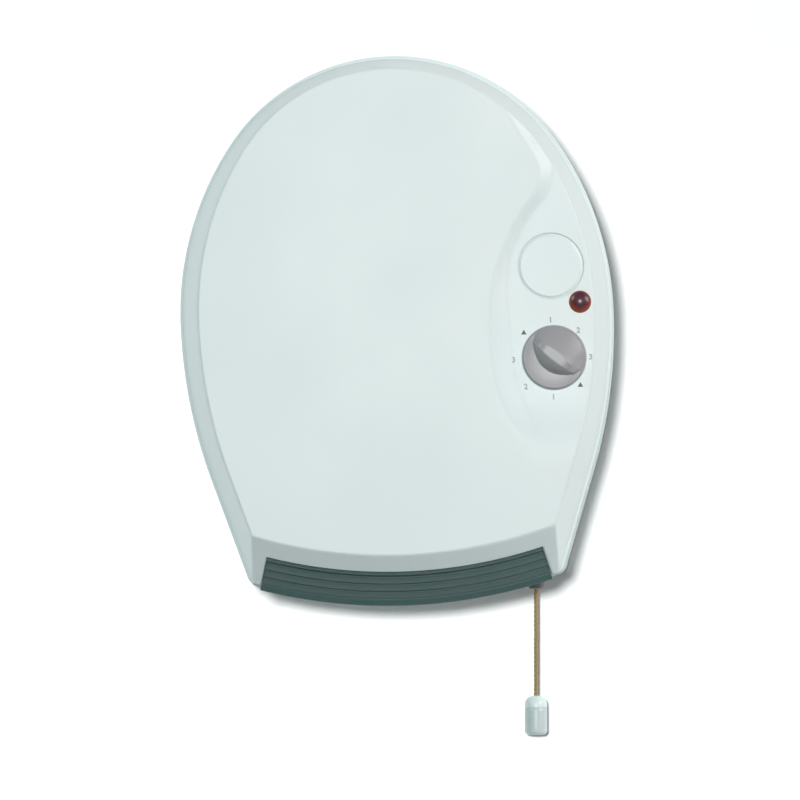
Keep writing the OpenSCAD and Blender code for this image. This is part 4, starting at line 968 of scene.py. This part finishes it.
class Effect(Recipe):
    """Shader group with named inputs and outputs, built once and used by several finishes."""

    def __init__(self, name, **inputs):
        super().__init__(bpy.data.node_groups.new(name, "ShaderNodeTree"))
        for label, value in inputs.items():
            kind = {3: "Vector", 4: "Color"}[len(value)] if isinstance(value, tuple) else "Float"
            socket = self.tree.interface.new_socket(label, in_out="INPUT", socket_type="NodeSocket" + kind)
            socket.default_value = value
        self.given = self.tree.nodes.new("NodeGroupInput").outputs

    def give(self, **values):
        """Makes the outputs, of which Color is a colour and the rest are numbers: the finished tree."""
        for label in values:
            kind = "Color" if label == "Color" else "Float"
            self.tree.interface.new_socket(label, in_out="OUTPUT", socket_type="NodeSocket" + kind)
        self.feed(self.tree.nodes.new("NodeGroupOutput"), values)
        return self.tree


GREY = (0.5, 0.5, 0.5, 1)


def moulded_skin():
    """Fine spark-eroded grain over a slow drift of tone and gloss, as on moulded plastic."""
    skin = Effect("moulded_skin", Tint=GREY, Drift=0.02, Grain=2500, Gloss=0.4)
    slow = skin.noise(14, 3)
    fine = skin.noise(skin.given["Grain"])
    drift = skin.times(skin.centred(slow), skin.given["Drift"])
    speck = skin.times(skin.centred(fine), 0.03)
    rough = skin.plus(skin.given["Gloss"], skin.times(skin.centred(slow), 0.12))
    return skin.give(Color=skin.scaled(skin.given["Tint"], skin.plus(skin.plus(drift, 1), speck)),
                     Roughness=skin.plus(rough, skin.times(fine, 0.06)), Height=fine)


def dust_film():
    """Thin dust that gathers on what faces up, in soft patches."""
    dust = Effect("dust_film", Color=GREY, Roughness=0.4, Amount=0.2)
    upward = dust.ranged(dust.facing("Z"), 0.2, 1)
    patches = dust.ranged(dust.noise(60, 4), 0.35, 0.7, 0.3, 1)
    film = dust.times(dust.times(upward, patches), dust.given["Amount"])
    return dust.give(Color=dust.mixed(film, dust.given["Color"], (0.55, 0.54, 0.5)),
                     Roughness=dust.plus(dust.given["Roughness"], dust.times(film, 0.4)))


def brushed_metal():
    """Fine drawn lines along one direction, with a faint change of tone."""
    drawn = Effect("brushed_metal", Tint=GREY, Lines=(40, 3000, 3000), Gloss=0.3)
    stretched = drawn.add("VectorMath", {0: drawn.places(), 1: drawn.given["Lines"]}, operation="MULTIPLY")[0]
    lines = drawn.noise(1, 3, stretched)
    tone = drawn.ranged(drawn.plus(lines, drawn.noise(50)), 0.6, 1.4, 0.88, 1.1)
    spread = drawn.times(drawn.centred(lines), 0.25)
    return drawn.give(Color=drawn.scaled(drawn.given["Tint"], tone),
                      Roughness=drawn.plus(drawn.given["Gloss"], spread), Height=lines)


def speckle():
    """Two tones in small irregular grains."""
    grains = Effect("speckle", First=GREY, Second=GREY, Grain=1500, Share=0.5)
    cells = grains.add("TexVoronoi", {"Vector": grains.places(), "Scale": grains.given["Grain"]})
    mask = grains.maths("LESS_THAN", grains.part(cells["Color"], "X"), grains.given["Share"])
    return grains.give(Color=grains.mixed(mask, grains.given["First"], grains.given["Second"]),
                       Height=cells["Distance"])


def winding():
    """Close turns of wire, tape or yarn laid side by side along one direction."""
    turns = Effect("winding", Tint=GREY, Gap=GREY, Turns=(0, 0, 1000))
    along = turns.add("VectorMath", {0: turns.places(), 1: turns.given["Turns"]}, operation="DOT_PRODUCT")
    height = turns.maths("SINE", turns.times(turns.maths("FRACT", along["Value"]), math.pi))
    crest = turns.ranged(height, 0.1, 0.7)
    return turns.give(Color=turns.mixed(crest, turns.given["Gap"], turns.given["Tint"]), Height=height)


SKIN, DUST, BRUSHED, SPECKLE, WINDING = moulded_skin(), dust_film(), brushed_metal(), speckle(), winding()


# ---- Finishes ----

class Finish(Recipe):
    """Material of one finish, with the plain values on its shader. FINISHES gives it its name."""

    def __init__(self, **plain):
        self.material = bpy.data.materials.new("finish")
        self.material.use_nodes = True
        super().__init__(self.material.node_tree)
        self.shader = self.tree.nodes["Principled BSDF"]
        self.feed(self.shader, {label.replace("_", " "): value for label, value in plain.items()})

    def paint(self, colour, roughness, height=None, relief=0):
        """Gives the shader what changes over the surface: the finished material."""
        self.feed(self.shader, {"Base Color": colour, "Roughness": roughness})
        if height is not None:
            bump = self.add("Bump", {"Height": height, "Strength": relief, "Distance": 0.0001})
            self.feed(self.shader, {"Normal": bump["Normal"]})
        return self.material


def stage_paint(glow):
    """Matt white paint with a faint glow, seen from its front only."""
    look = Finish(Emission_Color=(1, 1, 1), Emission_Strength=glow)
    paint = look.paint(look.scaled((0.93, 0.93, 0.93), look.cloudy(3, 2, 0.985, 1)), 0.9)
    side = look.add("MixShader", {0: look.add("NewGeometry")["Backfacing"], 1: look.shader.outputs[0],
                                  2: look.add("BsdfTransparent")[0]})
    look.feed(look.tree.nodes["Material Output"], {"Surface": side[0]})
    paint.name = "stage_finish"
    return paint


def plastic(tint, gloss, grain=2500, relief=0.12, drift=0.03, dust=0.12, tone=None, **plain):
    """Moulded plastic: grain, slow drift and a film of dust, and painted light from tone where it is given.
    """
    look = Finish(**plain)
    skin = look.use(SKIN, Tint=tint, Gloss=gloss, Grain=grain, Drift=drift)
    # tone paints light into the colour: the cover's painted shelf and step light, the toggle cap's painted
    # highlight.
    colour = look.scaled(skin["Color"], tone(look)) if tone else skin["Color"]
    film = look.use(DUST, Color=colour, Roughness=skin["Roughness"], Amount=dust)
    return look.paint(film["Color"], film["Roughness"], skin["Height"], relief)


def metal(tint, gloss, lines, relief):
    """Drawn or rolled metal with fine lines along one direction."""
    look = Finish(Metallic=1)
    brushed = look.use(BRUSHED, Tint=tint, Lines=lines, Gloss=gloss)
    return look.paint(brushed["Color"], brushed["Roughness"], brushed["Height"], relief)


MINT = (0.65, 0.775, 0.768)


def painted_shelf_light(look):
    """Painted light on the cover: the control shelf a touch lighter, and the step lighter where it turns
    right.
    """
    front = look.ranged(look.facing("Y"), -0.67, -0.76)
    y, face_y, shelf_y = look.part(look.places(), "Y"), (0.1 - BODY_DEPTH) * MM, -(SHELF_DEPTH + 0.2) * MM
    sunk = look.ranged(y, face_y, shelf_y)
    # Painted light: the slope of the step that turns right is lifted lighter.
    step = look.times(front, look.ranged(look.facing("X"), 0.03, 0.22, 0, 0.09))
    # Painted highlight: the front-facing shelf lifted up to 2% lighter, then the step's painted light added.
    return look.plus(look.ranged(look.times(front, sunk), 0, 1, 1, 1.02), step)


def cover_plastic():
    """Pale mint plastic of the front cover."""
    return plastic(MINT, 0.36, grain=2600, relief=0.06, drift=0.02, dust=0.1, tone=painted_shelf_light,
                   Specular_IOR_Level=0.4)


def painted_cap_light(look):
    """Painted highlight on the toggle: lighter above its seam, on the domed cap."""
    seam = (CORD_ROUTE[-1][2] + TOGGLE_GRIP - TOGGLE_SEAM) * MM
    return look.ranged(look.part(look.places(), "Z"), seam - 0.0001, seam + 0.0001, 1, 1.3)


def toggle_plastic():
    """Pale plastic of the toggle, its domed cap made lighter than its body by a painted highlight."""
    return plastic((0.555, 0.69, 0.68), 0.3, grain=2600, relief=0.06, dust=0.1,
                   tone=painted_cap_light, Specular_IOR_Level=0.6)


def housing_plastic():
    """The same pale plastic with a plainer skin, for the back housing."""
    return plastic(MINT, 0.42, grain=2000, relief=0.08, dust=0.18)


def grille_plastic():
    """Dark grey-green grille plastic, dusty where it faces up."""
    return plastic((0.052, 0.118, 0.112), 0.42, grain=2200, relief=0.14, drift=0.08, dust=0.3)


def knob_plastic():
    """Satin grey knob plastic."""
    return plastic((0.312, 0.332, 0.345), 0.33, grain=3200, relief=0.08, drift=0.04, dust=0.06,
                   Specular_IOR_Level=0.45)


def white_plastic():
    return plastic((0.60, 0.68, 0.67), 0.45, grain=1800, relief=0.1)


def dark_plastic():
    return plastic((0.12, 0.125, 0.13), 0.5, grain=1800, drift=0.1)


def black_rubber():
    return plastic((0.022, 0.022, 0.024), 0.68, grain=1500, relief=0.3, drift=0.15, dust=0.25)


def zinc_steel():
    return metal((0.62, 0.63, 0.66), 0.32, (700, 700, 900), 0.08)


def fan_aluminium():
    return metal((0.72, 0.73, 0.75), 0.34, (30, 2200, 2200), 0.1)


def brass():
    return metal((0.72, 0.52, 0.22), 0.28, (900, 900, 60), 0.1)


def lamp_lens_finish():
    """Neon lamp lens, dark red under a polished skin: a painted highlight greys its middle, painted amber
    light lifts its rim.
    """
    look = Finish(Coat_Weight=0.6, Coat_Roughness=0.24, Specular_IOR_Level=0.2)
    # Painted light: distance from a point a little above and right of the middle, so the amber is strongest
    # low down.
    across = look.maths("SUBTRACT", look.part(look.places(), "X"), (LAMP_X + 0.2) * MM)
    upward = look.maths("SUBTRACT", look.part(look.places(), "Z"), (LAMP_Z + 0.9) * MM)
    reach = look.maths("SQRT", look.plus(look.maths("POWER", across, 2), look.maths("POWER", upward, 2)))
    rim = look.ranged(reach, 0.0036, 0.0066)
    cloud = look.times(look.times(look.noise(700), 0.35), rim)
    # Painted light: the middle colour carries a greyish painted highlight, the rim colour is painted amber
    # light.
    colour = look.mixed(look.plus(rim, cloud), (0.085, 0.03, 0.042), (0.30, 0.06, 0.015))
    return look.paint(colour, look.cloudy(300, 2, 0.3, 0.4))


def cord_finish():
    """Tan cord: fibres along each strand and a soft fuzz of tone."""
    look = Finish(Specular_IOR_Level=0.25, Sheen_Weight=0.3)
    yarn = look.use(WINDING, Tint=(0.44, 0.335, 0.15), Gap=(0.27, 0.19, 0.08), Turns=(1400, 900, 420))
    fuzz = look.cloudy(1800, 4, 0.82, 1.15)
    return look.paint(look.scaled(yarn["Color"], fuzz), look.ranged(fuzz, 0.8, 1.2, 0.9, 0.7),
                      yarn["Height"], 0.4)


def galvanised_sheet():
    """Galvanised sheet with its spangle."""
    look = Finish(Metallic=1)
    flakes = look.use(SPECKLE, First=(0.58, 0.60, 0.63), Second=(0.44, 0.46, 0.5), Grain=160, Share=0.45)
    return look.paint(look.scaled(flakes["Color"], look.cloudy(90, 3, 0.9, 1.08)),
                      look.cloudy(90, 3, 0.34, 0.5), flakes["Height"], 0.05)


def lamination_steel():
    """Stack of thin dark sheets, seen as fine lines across the stack."""
    look = Finish(Metallic=0.8)
    sheets = look.use(WINDING, Tint=(0.22, 0.23, 0.26), Gap=(0.06, 0.06, 0.07), Turns=(2000, 0, 0))
    rust = look.ranged(look.noise(120, 4), 0.45, 0.75, 0, 0.25)
    return look.paint(look.mixed(rust, sheets["Color"], (0.16, 0.09, 0.05)),
                      look.ranged(rust, 0, 0.25, 0.45, 0.7), sheets["Height"], 0.3)


def sintered_bronze():
    """Porous bronze, darkened by oil."""
    look = Finish(Metallic=1)
    grains = look.use(SPECKLE, First=(0.50, 0.34, 0.16), Second=(0.28, 0.18, 0.08), Grain=3000, Share=0.35)
    height = grains["Height"]
    return look.paint(grains["Color"], look.ranged(height, 0, 0.5, 0.35, 0.6), height, 0.3)


def coil_tape():
    """Amber tape wound over the coil."""
    look = Finish(Specular_IOR_Level=0.5)
    turns = look.use(WINDING, Tint=(0.42, 0.24, 0.06), Gap=(0.24, 0.12, 0.03), Turns=(0, 160, 30))
    tone = look.cloudy(200, 3, 0.88, 1.1)
    return look.paint(look.scaled(turns["Color"], tone), look.ranged(tone, 0.85, 1.1, 0.3, 0.45),
                      turns["Height"], 0.2)


def mica():
    """Pale mica board with silvery flakes."""
    look = Finish(Specular_IOR_Level=0.6)
    flakes = look.use(SPECKLE, First=(0.56, 0.50, 0.38), Second=(0.44, 0.38, 0.27), Grain=500, Share=0.4)
    return look.paint(look.scaled(flakes["Color"], look.cloudy(80, 4, 0.85, 1.1)),
                      look.ranged(flakes["Height"], 0, 0.6, 0.3, 0.55), flakes["Height"], 0.1)


def heating_wire():
    """Heating wire, dulled and blued by heat."""
    look = Finish(Metallic=1)
    heat = look.noise(150, 3)
    blued = look.ranged(heat, 0.35, 0.65)
    return look.paint(look.mixed(blued, (0.20, 0.18, 0.17), (0.14, 0.15, 0.2)),
                      look.ranged(heat, 0.3, 0.7, 0.4, 0.6), heat, 0.1)


def fuse_sleeve():
    """White glass-braid sleeve over the thermal fuse."""
    look = Finish()
    braid = look.use(WINDING, Tint=(0.66, 0.62, 0.52), Gap=(0.46, 0.42, 0.33), Turns=(900, 500, 500))
    return look.paint(braid["Color"], look.ranged(braid["Height"], 0, 1, 0.8, 0.6), braid["Height"], 0.5)


def insulation(tint):
    """Lead insulation, glossy with faint lines from its die."""
    look = Finish(Coat_Weight=0.1)
    skin = look.use(SKIN, Tint=tint, Gloss=0.34, Grain=900, Drift=0.12)
    return look.paint(skin["Color"], skin["Roughness"], skin["Height"], 0.08)


def print_ink(tint):
    """Thin ink, a little uneven."""
    look = Finish(Specular_IOR_Level=0.3)
    tone = look.cloudy(2500, 3, 0.9, 1.12)
    return look.paint(look.scaled(tint, tone), look.cloudy(2500, 3, 0.5, 0.65))


FINISHES = {make.__name__.removesuffix("_finish"): make() for make in (
    cover_plastic, toggle_plastic, housing_plastic, grille_plastic, knob_plastic, white_plastic, dark_plastic,
    lamp_lens_finish, cord_finish, zinc_steel, galvanised_sheet, lamination_steel, fan_aluminium,
    sintered_bronze, brass, coil_tape, black_rubber, mica, heating_wire, fuse_sleeve)}
FINISHES["brown_insulation"] = insulation((0.16, 0.065, 0.03))
FINISHES["blue_insulation"] = insulation((0.05, 0.14, 0.40))
FINISHES["white_insulation"] = insulation((0.72, 0.71, 0.67))
FINISHES["grey_print"] = print_ink((0.36, 0.40, 0.40))
FINISHES["dark_print"] = print_ink((0.13, 0.15, 0.15))
for slot, finish in FINISHES.items():
    finish.name = slot + "_finish"


# ---- Carried-over nodes ----

def dress_node(name, slot):
    """Gives a carried node its finish, and rounder wires if it is a set of leads or else eased edges, with
    its shape and place left as they are."""
    obj = frame["nodes"][name]
    for holder in obj.material_slots:
        holder.material = FINISHES[slot]
    smooth(obj)
    modify(obj, "WELD", merge_threshold=0.000002)
    if name.endswith("_leads"):
        modify(obj, "SUBSURF", levels=1, render_levels=1)
        return
    modify(obj, "DECIMATE", decimate_type="DISSOLVE", angle_limit=math.radians(0.5))
    edge = 0.00025 if name == "back_housing" else 0.00012
    modify(obj, "BEVEL", width=edge, segments=2, limit_method="ANGLE", angle_limit=math.radians(40),
           use_clamp_overlap=True)
    modify(obj, "WEIGHTED_NORMAL", keep_sharp=True)


# ---- The whole heater ----

make_camera()
pull_cord()
pull_toggle()
for make in (cord_bush, plunger_spring, front_cover, outlet_grille, blanking_cap, lamp_lens, control_knob,
             dial_legend):
    make()
for row in frame["record"]["subparts"]:
    if row["node"] not in REPLACED:
        dress_node(row["node"], row["material_slot"])

heater = group_of("heater", [obj for obj in bpy.context.scene.objects if obj.type == "MESH"])
make_world()
make_lights(heater, make_stage())
